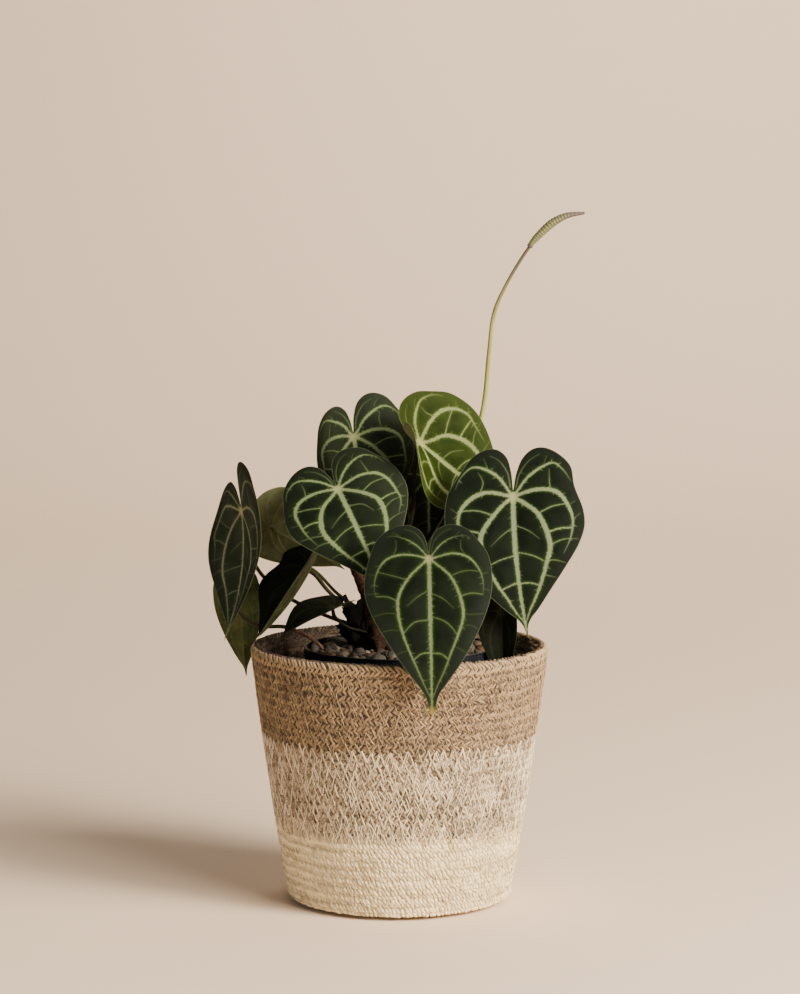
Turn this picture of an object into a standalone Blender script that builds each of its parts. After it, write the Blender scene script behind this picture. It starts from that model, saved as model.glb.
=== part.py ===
"""A velvet-leaved anthurium in a nursery pot, standing in a coiled jute basket.

Metres, +Z up, front at -Y. The origin is the centre of the basket's base.
"""
import math
import random

import bpy
import bmesh
from mathutils import Vector

MM = 0.001
GAP = 0.3 * MM
TURNED_SEGMENTS = 32

# Basket: a coiled cord, one row on top of the other, in three bands of colour
BASKET_HEIGHT = 190 * MM
BASKET_RIM_RADIUS = 110 * MM
BASKET_FOOT_RADIUS = 75.7 * MM
FOOT_ROUND_RADIAL = 8.1 * MM
FOOT_ROUND_HEIGHT = 15.8 * MM
WALL_SWELL = 0.88
CORD_ROWS = 28
CREAM_ROWS = 9
MIXED_ROWS = 9
ROW_PITCH = BASKET_HEIGHT / CORD_ROWS
ROW_GROOVE = 1.2 * MM
BASKET_WALL = 7 * MM
BASKET_FLOOR = 7 * MM
RIM_ROLL_RADIUS = 5.2 * MM

# Nursery pot: a thin tapered shell with a stepped rim, standing on the basket's floor
POT_FOOT = BASKET_FLOOR + GAP
POT_TOP = 188 * MM
POT_RIM_RADIUS = 70 * MM
POT_RIM_HEIGHT = 12 * MM
POT_STEP_RADIUS = 65 * MM
POT_FOOT_RADIUS = 51 * MM
POT_WALL = 1.5 * MM
POT_FLOOR = 2 * MM
DRAIN_HOLES = 6
DRAIN_HOLE_RADIUS = 4 * MM
DRAIN_CIRCLE_RADIUS = 36 * MM

# Growing mix, with a dressing of pebbles and bark over it
PEBBLE_BED_TOP = 183.5 * MM
STONES = 46
STONE_RADIUS = (3.4 * MM, 6.0 * MM)
STONE_SPACING = 11 * MM
STONE_SEED = 11
# Spots with no stones, round the stem and the stalk that is rooted by itself: x, y, radius
CLEARINGS = ((-19.5 * MM, 0, 18 * MM), (-57 * MM, -6 * MM, 10 * MM))

# Stem: a short leaning trunk. Each row is (x, y, z, radius) in millimetres.
TRUNK_PATH = ((-15, 0, 166, 7), (-16, 0, 188, 7), (-18, 1, 203, 6.2),
              (-23, 3, 222, 5), (-31, 5, 242, 4.3), (-36, 6, 252, 3))
TRUNK_SIDES = 10

# Leaf blades: outline of one half, from the notch round the lobe to the tip. The
# notch itself lies NOTCH of the shorter lobe behind the seat.
# Along is a share of the lobe's length before the petiole's seat and of the
# blade's length past it. Across is a share of the half's width.
HALF_OUTLINE = ((-0.5, 0.035), (-0.82, 0.12), (-0.98, 0.26), (-1.0, 0.41),
                (-0.87, 0.61), (-0.56, 0.79), (-0.15, 0.93), (0.13, 1.0), (0.25, 0.98),
                (0.38, 0.88), (0.54, 0.68), (0.69, 0.44), (0.81, 0.22), (0.865, 0.10),
                (0.91, 0.04), (1.0, 0.0))
NOTCH = 0.15
OUTLINE_COLUMNS = 15
BLADE_ROWS = 3
BLADE_THICKNESS = 0.8 * MM
CUP_REACH = 0.55
CUP_POWER = 1.4
PETIOLE_SIDES = 6
KNEE_LENGTH = 6 * MM

# One entry for each leaf. Lengths are in millimetres and angles in degrees.
# seat: where the petiole meets the blade. tip: the blade's tip. face: where the
# upper face looks. width and fold: left and right half, seen with the tip down;
# a fold above 0 raises the half. cup: how much more it is raised at the lobes.
# curl: how much more the margin turns. arch: how much the midrib bends back from
# seat to tip. lobe_bend: how far the lobes bend back. sway: sideways bow of the
# midrib. wave: height of the margin's waves. petiole: its way from the stem.
# thick: the petiole's radius.
LEAVES = {
    "01": dict(seat=(21, -88, 263), tip=(23, -127, 157), face=(0, -1, 0.35),
               width=(46, 45), lobe=(33, 33), fold=(8, 8), cup=(0, 0), curl=(-22, -22),
               arch=46, lobe_bend=16, sway=0, wave=0.8, thick=1.8,
               petiole=((-20, 0, 210), (-8, -26, 230), (8, -58, 242), (18, -76, 250))),
    "02": dict(seat=(83, -18, 300), tip=(93, -52, 201), face=(0.05, -1, 0.2),
               width=(51, 51), lobe=(39, 37), fold=(8, 8), cup=(0, 0), curl=(-18, -18),
               arch=20, lobe_bend=0, sway=12, wave=1.2, thick=1.9,
               petiole=((-20, 2, 217), (20, 10, 238), (60, 6, 266), (80, -4, 288))),
    "03": dict(seat=(-45, -8, 305), tip=(-10, -64, 236), face=(-0.1, -0.78, 0.62),
               width=(46, 48), lobe=(34, 36), fold=(6, 8), cup=(0, 0), curl=(-20, -20),
               arch=30, lobe_bend=0, sway=0, wave=0.8, thick=1.7,
               petiole=((-33, 5, 246), (-39, 3, 262), (-44, 2, 280), (-45, 1, 291))),
    "04": dict(seat=(-34, 54, 338), tip=(-21, 38, 262), face=(0.2, -0.9, 0.4),
               width=(34, 43), lobe=(26, 32), fold=(0, 10), cup=(0, 0), curl=(-66, -16),
               arch=12, lobe_bend=0, sway=4, wave=0.8, thick=1.6,
               petiole=((-32, 5, 244), (-34, 40, 250), (-33, 66, 272), (-32, 74, 306))),
    "05": dict(seat=(15, 24, 336), tip=(81, 40, 281), face=(0, -0.95, 0.25),
               width=(40, 47), lobe=(20, 29), fold=(18, 2), cup=(94, 0), curl=(0, -12),
               arch=12, lobe_bend=0, sway=0, wave=0.8, thick=1.6,
               petiole=((-26, 4, 229), (-4, 9, 250), (9, 15, 281), (11, 22, 310))),
    "06": dict(seat=(-115, -22, 290), tip=(-128, -30, 196), face=(-0.86, -0.46, 0.1),
               width=(43, 42), lobe=(20, 38), fold=(24, 13), cup=(-42, 0), curl=(-8, -8),
               arch=-34, lobe_bend=-6, sway=0, wave=0.8, thick=1.5,
               petiole=((-18, 2, 198), (-56, 34, 206), (-88, 50, 220), (-106, 48, 238),
                        (-111, 22, 262))),
    "07": dict(seat=(-119, 15, 226), tip=(-114, 22, 161), face=(-0.1, 1, 0.05),
               width=(22, 26), lobe=(16, 16), fold=(40, 44), cup=(0, 0), curl=(0, 0),
               arch=8, lobe_bend=0, sway=0, wave=0.5, thick=1.5,
               petiole=((-55, -5, 170), (-57, -5, 187), (-82, -5, 202), (-104, -1, 203),
                        (-117, 4, 211))),
    "08": dict(seat=(-97, 50, 270), tip=(-41, 84, 234), face=(-0.15, 1, 0.1),
               width=(37, 28), lobe=(24, 14), fold=(8, 46), cup=(0, 0), curl=(-10, 0),
               arch=16, lobe_bend=0, sway=0, wave=0.6, thick=1.3,
               petiole=((-21, 3, 209), (-46, 20, 224), (-62, 36, 238), (-86, 43, 253))),
    "09": dict(seat=(-67, 6, 243), tip=(-107, -30, 196), face=(-0.72, -0.12, 0.65),
               width=(31, 36), lobe=(22, 22), fold=(36, 26), cup=(0, 0), curl=(-8, -8),
               arch=-20, lobe_bend=0, sway=0, wave=0.5, thick=1.5,
               petiole=((-20, 2, 205), (-40, 7, 214), (-56, 9, 225), (-63, 8, 234))),
    "10": dict(seat=(-49, -14, 218), tip=(-87, -38, 200), face=(-0.35, -0.25, 0.9),
               width=(24, 24), lobe=(14, 14), fold=(18, 20), cup=(0, 0), curl=(-6, -6),
               arch=16, lobe_bend=0, sway=0, wave=0.5, thick=1.3,
               petiole=((-17, 0, 196), (-28, -8, 200), (-39, -13, 204), (-46, -14, 210))),
    "11": dict(seat=(74, -31, 217), tip=(76, -37, 161), face=(0, -1, 0.1),
               width=(17, 15), lobe=(14, 14), fold=(8, 44), cup=(0, 0), curl=(-8, 0),
               arch=8, lobe_bend=0, sway=0, wave=0.3, thick=1.4,
               petiole=((-16, 2, 193), (20, 6, 210), (56, -2, 224), (72, -16, 222))),
    "12": dict(seat=(22, 72, 305), tip=(23, 52, 232), face=(0, -0.95, 0.3),
               width=(32, 32), lobe=(24, 24), fold=(14, 14), cup=(0, 0), curl=(-12, -12),
               arch=16, lobe_bend=0, sway=0, wave=0.5, thick=1.5,
               petiole=((-29, 5, 236), (-24, 40, 250), (-4, 76, 270), (15, 86, 294))),
}

# Flower stalk and spadix: rows of (x, y, z, radius) in millimetres
PEDUNCLE_PATH = ((-22, 3, 222, 1.8), (-2, 14, 236, 1.7), (24, 30, 268, 1.6), (50, 44, 318, 1.5),
                 (62.5, 48, 359, 1.45), (67, 48, 401, 1.4), (71, 48, 432, 1.35),
                 (80.5, 48, 454, 1.3), (92, 48, 473.5, 1.25), (96.5, 48, 480, 1.25))
SPADIX_PATH = ((96.8, 48, 480.5, 1.6), (99, 48, 484, 2.1), (105, 48, 490.4, 2.7),
               (114, 48, 498.4, 2.9), (124, 48, 503.6, 2.2), (138, 48, 505.8, 0.9))


def clear_scene():
    for obj in list(bpy.data.objects):
        bpy.data.objects.remove(obj, do_unlink=True)


def material(name, colour, roughness, metallic=0.0):
    mat = bpy.data.materials.new(name)
    mat.use_nodes = True
    shader = mat.node_tree.nodes["Principled BSDF"]
    shader.inputs["Base Color"].default_value = (*colour, 1.0)
    shader.inputs["Roughness"].default_value = roughness
    shader.inputs["Metallic"].default_value = metallic
    return mat


def add_object(name, mesh, mat=None, smooth=True):
    obj = bpy.data.objects.new(name, mesh)
    bpy.context.scene.collection.objects.link(obj)
    if mat:
        mesh.materials.append(mat)
    if smooth:
        mesh.shade_smooth()
        mesh.set_sharp_from_angle(angle=math.radians(40))
    return obj


def mesh_from(name, points, faces):
    mesh = bpy.data.meshes.new(name)
    mesh.from_pydata([tuple(p) for p in points], [], faces)
    mesh.validate()
    return mesh


def turned(name, profile, mat, segments=TURNED_SEGMENTS):
    """Turn a profile of (radius, height) points about Z.

    A profile with both ends on the axis makes a cup or a disc. Any other one is
    taken as closed and makes a ring. It runs counter-clockwise, with the radius
    to the right and the height up.
    """
    points = []
    faces = []
    rings = []
    for radius, height in profile:
        if radius < 1e-9:
            rings.append([len(points)])
            points.append((0, 0, height))
            continue
        rings.append(list(range(len(points), len(points) + segments)))
        for k in range(segments):
            angle = math.tau * k / segments
            points.append((radius * math.cos(angle), radius * math.sin(angle), height))
    closed = len(rings[0]) > 1
    pairs = list(zip(rings, rings[1:]))
    if closed:
        pairs.append((rings[-1], rings[0]))
    for low, high in pairs:
        for k in range(segments):
            j = (k + 1) % segments
            if len(low) == 1:
                faces.append((low[0], high[j], high[k]))
            elif len(high) == 1:
                faces.append((low[k], low[j], high[0]))
            else:
                faces.append((low[k], low[j], high[j], high[k]))
    return add_object(name, mesh_from(name, points, faces), mat)


def between(p, q, t_p, t_q, t):
    return p + (q - p) * ((t - t_p) / (t_q - t_p))


def smooth_path(points, steps):
    """Points on a centripetal Catmull-Rom curve through rows of numbers."""
    rows = [Vector(p) for p in points]
    rows = [2 * rows[0] - rows[1], *rows, 2 * rows[-1] - rows[-2]]
    path = []
    for a, b, c, d in zip(rows, rows[1:], rows[2:], rows[3:]):
        t_b = (b - a).length ** 0.5
        t_c = t_b + (c - b).length ** 0.5
        t_d = t_c + (d - c).length ** 0.5
        for k in range(steps):
            t = t_b + (t_c - t_b) * k / steps
            ab = between(a, b, 0, t_b, t)
            bc = between(b, c, t_b, t_c, t)
            cd = between(c, d, t_c, t_d, t)
            path.append(between(between(ab, bc, 0, t_c, t), between(bc, cd, t_b, t_d, t),
                                t_b, t_c, t))
    path.append(rows[-2])
    return path


def tube(name, path, sides, mat=None, grow=0.0):
    """Sweep a round section along rows of (x, y, z, radius), larger by grow all round."""
    centres = [Vector(row[:3]) for row in path]
    centres[0] += grow * (centres[0] - centres[1]).normalized()
    centres[-1] += grow * (centres[-1] - centres[-2]).normalized()
    points = []
    faces = []
    across = None
    for k, centre in enumerate(centres):
        ahead = centres[min(k + 1, len(centres) - 1)] - centres[max(k - 1, 0)]
        ahead.normalize()
        if across is None:
            across = ahead.orthogonal().normalized()
        across = (across - across.dot(ahead) * ahead).normalized()
        other = ahead.cross(across)
        for side in range(sides):
            angle = math.tau * side / sides
            points.append(centre + (path[k][3] + grow)
                          * (math.cos(angle) * across + math.sin(angle) * other))
    for k in range(len(centres) - 1):
        for side in range(sides):
            a = k * sides + side
            b = k * sides + (side + 1) % sides
            faces.append((a, b, b + sides, a + sides))
    faces.append(tuple(reversed(range(sides))))
    faces.append(tuple(range(len(points) - sides, len(points))))
    return add_object(name, mesh_from(name, points, faces), mat)


def in_metres(rows):
    return [tuple(value * MM for value in row) for row in rows]


def hide_cutter(obj):
    obj.hide_render = True
    obj.display_type = "WIRE"


def cut(obj, cutter):
    """Take the cutter's shape out of the object."""
    modifier = obj.modifiers.new("cut by " + cutter.name, "BOOLEAN")
    modifier.operation = "DIFFERENCE"
    modifier.object = cutter


def fuse(obj, parts):
    """Fuse many small solids into the object, as one closed body."""
    group = bpy.data.collections.new(obj.name + "_parts")
    bpy.context.scene.collection.children.link(group)
    for part in parts:
        bpy.context.scene.collection.objects.unlink(part)
        group.objects.link(part)
    modifier = obj.modifiers.new("fuse", "BOOLEAN")
    modifier.operation = "UNION"
    modifier.operand_type = "COLLECTION"
    modifier.collection = group
    bpy.context.view_layer.update()
    graph = bpy.context.evaluated_depsgraph_get()
    fused = bpy.data.meshes.new_from_object(obj.evaluated_get(graph))
    obj.modifiers.remove(modifier)
    obj.data = fused
    for part in parts:
        bpy.data.objects.remove(part, do_unlink=True)
    bpy.data.collections.remove(group)


def basket_radius(height):
    """Outer radius of the basket's wall, over the crests of its rows."""
    if height < FOOT_ROUND_HEIGHT:
        drop = 1 - height / FOOT_ROUND_HEIGHT
        return BASKET_FOOT_RADIUS + FOOT_ROUND_RADIAL * math.sqrt(1 - drop * drop)
    low = BASKET_FOOT_RADIUS + FOOT_ROUND_RADIAL
    share = (height - FOOT_ROUND_HEIGHT) / (BASKET_HEIGHT - FOOT_ROUND_HEIGHT)
    return low + (BASKET_RIM_RADIUS - low) * share ** WALL_SWELL


def row_ridges(first, last):
    """Outer wall over rows of cord: a crest for each row, a groove between two."""
    profile = []
    for row in range(first, last):
        crest = (row + 0.5) * ROW_PITCH
        profile.append((basket_radius(crest), crest))
        if row + 1 < last:
            groove = (row + 1) * ROW_PITCH
            profile.append((basket_radius(groove) - ROW_GROOVE, groove))
    return profile


def band_ends(low, high):
    """Where a band starts and ends on the outside, half a gap inside its rows."""
    start = (basket_radius(low) - ROW_GROOVE, low + GAP / 2)
    end = (basket_radius(high) - ROW_GROOVE, high - GAP / 2)
    return start, end


def inner_wall(high, low, steps):
    """Inner wall, from the top down."""
    heights = [high + (low - high) * k / steps for k in range(steps + 1)]
    return [(basket_radius(z) - BASKET_WALL, z) for z in heights]


def make_basket(jute, mixed, cream):
    cream_top = CREAM_ROWS * ROW_PITCH
    mixed_top = (CREAM_ROWS + MIXED_ROWS) * ROW_PITCH

    # Cream base: the floor and the lowest rows
    _, end = band_ends(0, cream_top)
    profile = [(0, 0), (BASKET_FOOT_RADIUS, 0)]
    profile += row_ridges(0, CREAM_ROWS)
    profile.append(end)
    profile += inner_wall(cream_top - GAP / 2, BASKET_FLOOR + BASKET_WALL, 3)
    profile.append((BASKET_FOOT_RADIUS - BASKET_WALL, BASKET_FLOOR))
    profile.append((0, BASKET_FLOOR))
    turned("basket_cream_base", profile, cream)

    # Middle band
    start, end = band_ends(cream_top, mixed_top)
    profile = [start] + row_ridges(CREAM_ROWS, CREAM_ROWS + MIXED_ROWS) + [end]
    profile += inner_wall(mixed_top - GAP / 2, cream_top + GAP / 2, 2)
    turned("basket_mixed_band", profile, mixed)

    # Top band, with the rolled rim as its last row
    start, _ = band_ends(mixed_top, BASKET_HEIGHT)
    profile = [start] + row_ridges(CREAM_ROWS + MIXED_ROWS, CORD_ROWS - 1)
    roll_centre = (BASKET_RIM_RADIUS - RIM_ROLL_RADIUS, BASKET_HEIGHT - RIM_ROLL_RADIUS)
    for degrees in (-50, -15, 20, 55, 90, 125, 160, 195):
        angle = math.radians(degrees)
        profile.append((roll_centre[0] + RIM_ROLL_RADIUS * math.cos(angle),
                        roll_centre[1] + RIM_ROLL_RADIUS * math.sin(angle)))
    profile += inner_wall(BASKET_HEIGHT - 3 * RIM_ROLL_RADIUS, mixed_top + GAP / 2, 3)
    turned("basket_jute_band", profile, jute)


def make_pot(plastic):
    step = POT_TOP - POT_RIM_HEIGHT
    profile = [(0, POT_FOOT), (POT_FOOT_RADIUS - POT_WALL, POT_FOOT),
               (POT_FOOT_RADIUS, POT_FOOT + POT_WALL), (POT_STEP_RADIUS, step),
               (POT_RIM_RADIUS - 0.5 * MM, step), (POT_RIM_RADIUS, step + 0.5 * MM),
               (POT_RIM_RADIUS, POT_TOP - 0.5 * MM), (POT_RIM_RADIUS - 0.5 * MM, POT_TOP),
               (POT_RIM_RADIUS - POT_WALL, POT_TOP), (POT_RIM_RADIUS - POT_WALL, step + POT_WALL),
               (POT_STEP_RADIUS - POT_WALL, step + POT_WALL),
               (POT_FOOT_RADIUS - POT_WALL, POT_FOOT + POT_FLOOR), (0, POT_FOOT + POT_FLOOR)]
    pot = turned("nursery_pot", profile, plastic)
    for k in range(DRAIN_HOLES):
        angle = math.tau * (k + 0.35) / DRAIN_HOLES
        bpy.ops.mesh.primitive_cylinder_add(
            vertices=8, radius=DRAIN_HOLE_RADIUS, depth=4 * POT_FLOOR,
            location=(DRAIN_CIRCLE_RADIUS * math.cos(angle),
                      DRAIN_CIRCLE_RADIUS * math.sin(angle), POT_FOOT))
        hole = bpy.context.object
        hole.name = "drain_hole_cutter_%d" % k
        hide_cutter(hole)
        cut(pot, hole)


def make_stone(rng, centre, mat):
    """A rounded stone with eight corners knocked about."""
    mesh = bpy.data.meshes.new("stone")
    bm = bmesh.new()
    bmesh.ops.create_icosphere(bm, subdivisions=1, radius=1.0)
    size = rng.uniform(*STONE_RADIUS)
    turn = rng.uniform(0, math.tau)
    stretch = rng.uniform(1.0, 1.35)
    for vert in bm.verts:
        x, y, z = vert.co * size * rng.uniform(0.88, 1.08)
        x *= stretch
        z *= 0.75
        vert.co = centre + Vector((x * math.cos(turn) - y * math.sin(turn),
                                   x * math.sin(turn) + y * math.cos(turn), z))
    bm.to_mesh(mesh)
    bm.free()
    return add_object("stone", mesh, mat, smooth=False)


def make_soil(mix, pebble, cutters):
    step = POT_TOP - POT_RIM_HEIGHT + POT_WALL
    floor = POT_FOOT + POT_FLOOR + GAP
    wall = POT_WALL + GAP * 1.5
    soil = turned("potting_mix", [(0, floor), (POT_FOOT_RADIUS - wall, floor),
                                  (POT_STEP_RADIUS - wall, step), (0, step)], mix)

    bed_radius = POT_RIM_RADIUS - POT_WALL - GAP
    bed = turned("pebble_dressing", [(0, step + GAP), (bed_radius, step + GAP),
                                     (bed_radius, PEBBLE_BED_TOP), (0, PEBBLE_BED_TOP)], pebble)
    rng = random.Random(STONE_SEED)
    stones = []
    centres = []
    while len(stones) < STONES:
        angle = rng.uniform(0, math.tau)
        radius = (bed_radius - 1.6 * STONE_RADIUS[1]) * math.sqrt(rng.random())
        spot = Vector((radius * math.cos(angle), radius * math.sin(angle)))
        if any((spot - Vector((x, y))).length < reach for x, y, reach in CLEARINGS):
            continue
        if any((spot - other).length < STONE_SPACING for other in centres):
            continue
        centres.append(spot)
        centre = Vector((spot.x, spot.y, PEBBLE_BED_TOP + rng.uniform(-0.5, 1.5) * MM))
        stones.append(make_stone(rng, centre, pebble))
    fuse(bed, stones)
    for cutter in cutters:
        cut(soil, cutter)
        cut(bed, cutter)


def arc(start, rate, length):
    """Forward and sideways reach of a line that bends at a steady rate."""
    if abs(rate) < 1e-9:
        return length * math.cos(start), length * math.sin(start)
    end = start + rate * length
    return (math.sin(end) - math.sin(start)) / rate, (math.cos(start) - math.cos(end)) / rate


class Blade:
    """The curved upper face of one leaf, in metres."""

    def __init__(self, leaf):
        self.seat = Vector(leaf["seat"]) * MM
        chord = Vector(leaf["tip"]) * MM - self.seat
        self.down = chord.normalized()
        face = Vector(leaf["face"])
        self.up = (face - face.dot(self.down) * self.down).normalized()
        self.right = self.up.cross(self.down)
        self.arch = math.radians(leaf["arch"])
        self.length = chord.length * (self.arch / 2) / math.sin(self.arch / 2)
        self.lobe = [size * MM for size in leaf["lobe"]]
        self.lobe_bend = math.radians(leaf["lobe_bend"])
        self.width = [w * MM for w in leaf["width"]]
        self.fold = [math.radians(a) for a in leaf["fold"]]
        self.cup = [math.radians(a) for a in leaf["cup"]]
        self.curl = [math.radians(a) for a in leaf["curl"]]
        self.sway = leaf["sway"] * MM
        self.wave = leaf["wave"] * MM

    def midrib(self, along):
        """Point of the midrib, and the upper side's direction there."""
        if along >= 0:
            rate = -self.arch / self.length
            ahead, rise = arc(self.arch / 2, rate, along)
            lean = self.arch / 2 + rate * along
        else:
            rate = self.lobe_bend / max(self.lobe)
            ahead, rise = arc(self.arch / 2, rate, -along)
            ahead, rise = -ahead, -rise
            lean = self.arch / 2 - rate * along
        share = along / self.length
        point = (self.seat + ahead * self.down + rise * self.up
                 + self.sway * (share * share - share) * self.right)
        up = math.cos(lean) * self.up - math.sin(lean) * self.down
        return point, up

    def point(self, along, across):
        """Point of the upper face, by its ways along and across the blade."""
        point, up = self.midrib(along)
        side = 1 if across > 0 else 0
        width = self.width[side]
        reach = CUP_REACH * self.length
        near_lobe = max((reach - along) / (reach + self.lobe[side]), 0.0)
        fold = self.fold[side] + self.cup[side] * near_lobe ** CUP_POWER
        out, rise = arc(fold, self.curl[side] / width, abs(across))
        share = abs(across) / width
        turn = math.atan2(across, along + 0.35 * self.length)
        rise += self.wave * share ** 2 * math.sin(5 * turn + 40 * self.seat.x / self.length)
        return point + (out if side else -out) * self.right + rise * up


def half_outline(blade, side, columns):
    """Outline of one half as (along, across), from the notch to the tip."""
    rows = [(-NOTCH * min(blade.lobe), 0)]
    for along, across in HALF_OUTLINE:
        along *= blade.lobe[side] if along < 0 else blade.length
        rows.append((along, across * blade.width[side]))
    path = smooth_path(rows, 12)
    lengths = [0.0]
    for a, b in zip(path, path[1:]):
        lengths.append(lengths[-1] + (b - a).length)
    outline = []
    k = 0
    for column in range(columns + 1):
        goal = lengths[-1] * column / columns
        while k < len(path) - 2 and lengths[k + 1] < goal:
            k += 1
        share = (goal - lengths[k]) / (lengths[k + 1] - lengths[k])
        outline.append(path[k].lerp(path[k + 1], share))
    return outline


def make_blade(name, leaf, mat):
    """A thin blade: two halves of triangles between the midrib and the margin."""
    blade = Blade(leaf)
    points = []
    faces = []
    spine = {}
    for side, sign in ((0, -1), (1, 1)):
        outline = half_outline(blade, side, OUTLINE_COLUMNS)
        notch = outline[0].x
        grid = []
        for column, (along, across) in enumerate(outline):
            share = column / OUTLINE_COLUMNS
            root = notch + (blade.length - notch) * share ** 1.6
            if column in (0, OUTLINE_COLUMNS):
                root = along
            line = []
            for row in range(BLADE_ROWS + 1):
                t = row / BLADE_ROWS
                if row == 0 or column in (0, OUTLINE_COLUMNS):
                    if column not in spine:
                        spine[column] = len(points)
                        points.append(blade.point(root, 0))
                    line.append(spine[column])
                    continue
                line.append(len(points))
                points.append(blade.point(root + (along - root) * t, sign * across * t))
            grid.append(line)
        for a, b in zip(grid, grid[1:]):
            for row in range(BLADE_ROWS):
                loop = [a[row], a[row + 1], b[row + 1], b[row]]
                if sign > 0:
                    loop.reverse()
                for tri in ((loop[0], loop[1], loop[2]), (loop[0], loop[2], loop[3])):
                    if len(set(tri)) == 3:
                        faces.append(tri)
    obj = add_object(name, mesh_from(name, points, faces), mat)
    solidify = obj.modifiers.new("thickness", "SOLIDIFY")
    solidify.thickness = BLADE_THICKNESS
    solidify.offset = -1
    return obj


def petiole_path(leaf):
    """Way of a petiole from inside the stem to just below its blade."""
    blade = Blade(leaf)
    seat, up = blade.midrib(0)
    radius = leaf["thick"]
    rows = [(*p, radius * (1.25 if k == 0 else 1)) for k, p in enumerate(leaf["petiole"])]
    end = (seat - up * (BLADE_THICKNESS + 1.7 * GAP)) / MM
    knee = (seat - up * KNEE_LENGTH) / MM
    rows.append((*knee, radius * 1.1))
    rows.append((*end, radius * 0.8))
    return in_metres([tuple(row) for row in smooth_path(rows, 2)])


def make_petioles(green, stem_cutter):
    """Petioles are seated on the stem, or rooted in the soil by themselves."""
    rooted = None
    for number, leaf in LEAVES.items():
        path = petiole_path(leaf)
        petiole = tube("leaf_%s_petiole" % number, path, PETIOLE_SIDES, green)
        if leaf["petiole"][0][2] < POT_TOP / MM - 10:
            rooted = tube("petiole_hole_cutter", path[:5], PETIOLE_SIDES, grow=GAP)
            hide_cutter(rooted)
        else:
            cut(petiole, stem_cutter)
    return rooted


def make_plant(dark, young, green, bark, flower_green, spadix_mat):
    trunk_path = in_metres([tuple(row) for row in smooth_path(TRUNK_PATH, 2)])
    tube("stem", trunk_path, TRUNK_SIDES, bark)
    stem_cutter = tube("stem_hole_cutter", trunk_path, TRUNK_SIDES, grow=GAP)
    hide_cutter(stem_cutter)
    for number, leaf in LEAVES.items():
        make_blade("leaf_%s_blade" % number, leaf, young if number == "05" else dark)
    rooted_cutter = make_petioles(green, stem_cutter)
    peduncle = in_metres([tuple(row) for row in smooth_path(PEDUNCLE_PATH, 2)])
    cut(tube("flower_stalk", peduncle, PETIOLE_SIDES, flower_green), stem_cutter)
    spadix = in_metres([tuple(row) for row in smooth_path(SPADIX_PATH, 2)])
    tube("spadix", spadix, 8, spadix_mat)
    return [stem_cutter, rooted_cutter]


def main():
    clear_scene()
    make_basket(material("jute_cord", (0.38, 0.25, 0.15), 0.9),
                material("mixed_cord", (0.46, 0.34, 0.22), 0.9),
                material("cream_cord", (0.62, 0.52, 0.38), 0.9))
    make_pot(material("pot_plastic", (0.02, 0.022, 0.028), 0.45))
    cutters = make_plant(material("leaf_dark", (0.012, 0.022, 0.012), 0.5),
                         material("leaf_young", (0.10, 0.20, 0.02), 0.45),
                         material("petiole_green", (0.16, 0.13, 0.05), 0.5),
                         material("stem_bark", (0.13, 0.05, 0.03), 0.7),
                         material("stalk_green", (0.32, 0.33, 0.10), 0.5),
                         material("spadix_olive", (0.24, 0.25, 0.10), 0.6))
    make_soil(material("potting_mix", (0.05, 0.03, 0.02), 0.95),
              material("pebbles", (0.28, 0.22, 0.17), 0.85), cutters)


main()
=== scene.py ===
"""Looks of the potted anthurium: veined leaves, stitched cord basket, pot and pebbles.

Sizes are in millimetres and turned into metres with MM. Front is -Y.
"""
import math
import random
from bisect import bisect_left

import bmesh
import bpy
import numpy as np
from mathutils import Euler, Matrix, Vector, noise
from mathutils.geometry import delaunay_2d_cdt


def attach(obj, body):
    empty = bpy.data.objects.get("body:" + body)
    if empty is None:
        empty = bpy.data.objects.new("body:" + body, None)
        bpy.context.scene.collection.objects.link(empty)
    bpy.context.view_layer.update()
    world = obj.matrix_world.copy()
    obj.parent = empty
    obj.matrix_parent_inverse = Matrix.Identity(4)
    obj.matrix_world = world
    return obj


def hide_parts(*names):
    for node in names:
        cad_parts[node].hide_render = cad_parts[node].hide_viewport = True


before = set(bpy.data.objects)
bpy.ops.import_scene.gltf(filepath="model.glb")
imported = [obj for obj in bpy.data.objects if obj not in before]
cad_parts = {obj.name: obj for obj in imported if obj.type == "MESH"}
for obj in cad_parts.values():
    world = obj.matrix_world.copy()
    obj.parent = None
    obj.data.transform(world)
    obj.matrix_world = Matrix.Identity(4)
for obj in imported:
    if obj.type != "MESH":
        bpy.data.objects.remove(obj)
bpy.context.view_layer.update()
MM = 0.001

# Basket, as in the CAD model
BASKET_HEIGHT = 190.0
BASKET_RIM_RADIUS = 110.0
BASKET_FOOT_RADIUS = 75.7
FOOT_ROUND_RADIAL = 8.1
FOOT_ROUND_HEIGHT = 15.8
WALL_SWELL = 0.88
CORD_ROWS = 28
ROW_PITCH = BASKET_HEIGHT / CORD_ROWS
BASKET_WALL = 7.0
CORD_SEGMENTS = 160
STRANDS = 180
TWIST = 0.55             # how strongly the strands of a cord show
RIM_ROLL = 5.2           # how far below the top the outer side rolls in
FOOT_CLEARANCE = 2.6
FLOOR_RINGS = 11
INNER_SHADE = -0.35      # painted shade, added to the tone of the cords' inner sides
RIM_PAINTED_LIGHT = 0.30          # painted light, added to the tone of the rim's plies on the outer side
RIM_INNER_SHADE = -0.4   # painted shade, added to it on the inner side, where it doesn't face right
CORD_SIDES = 8
PLY_SIDES = 5
PLY_SINK = 0.45          # how far the middle of a ply lies under the cord's crest
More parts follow.
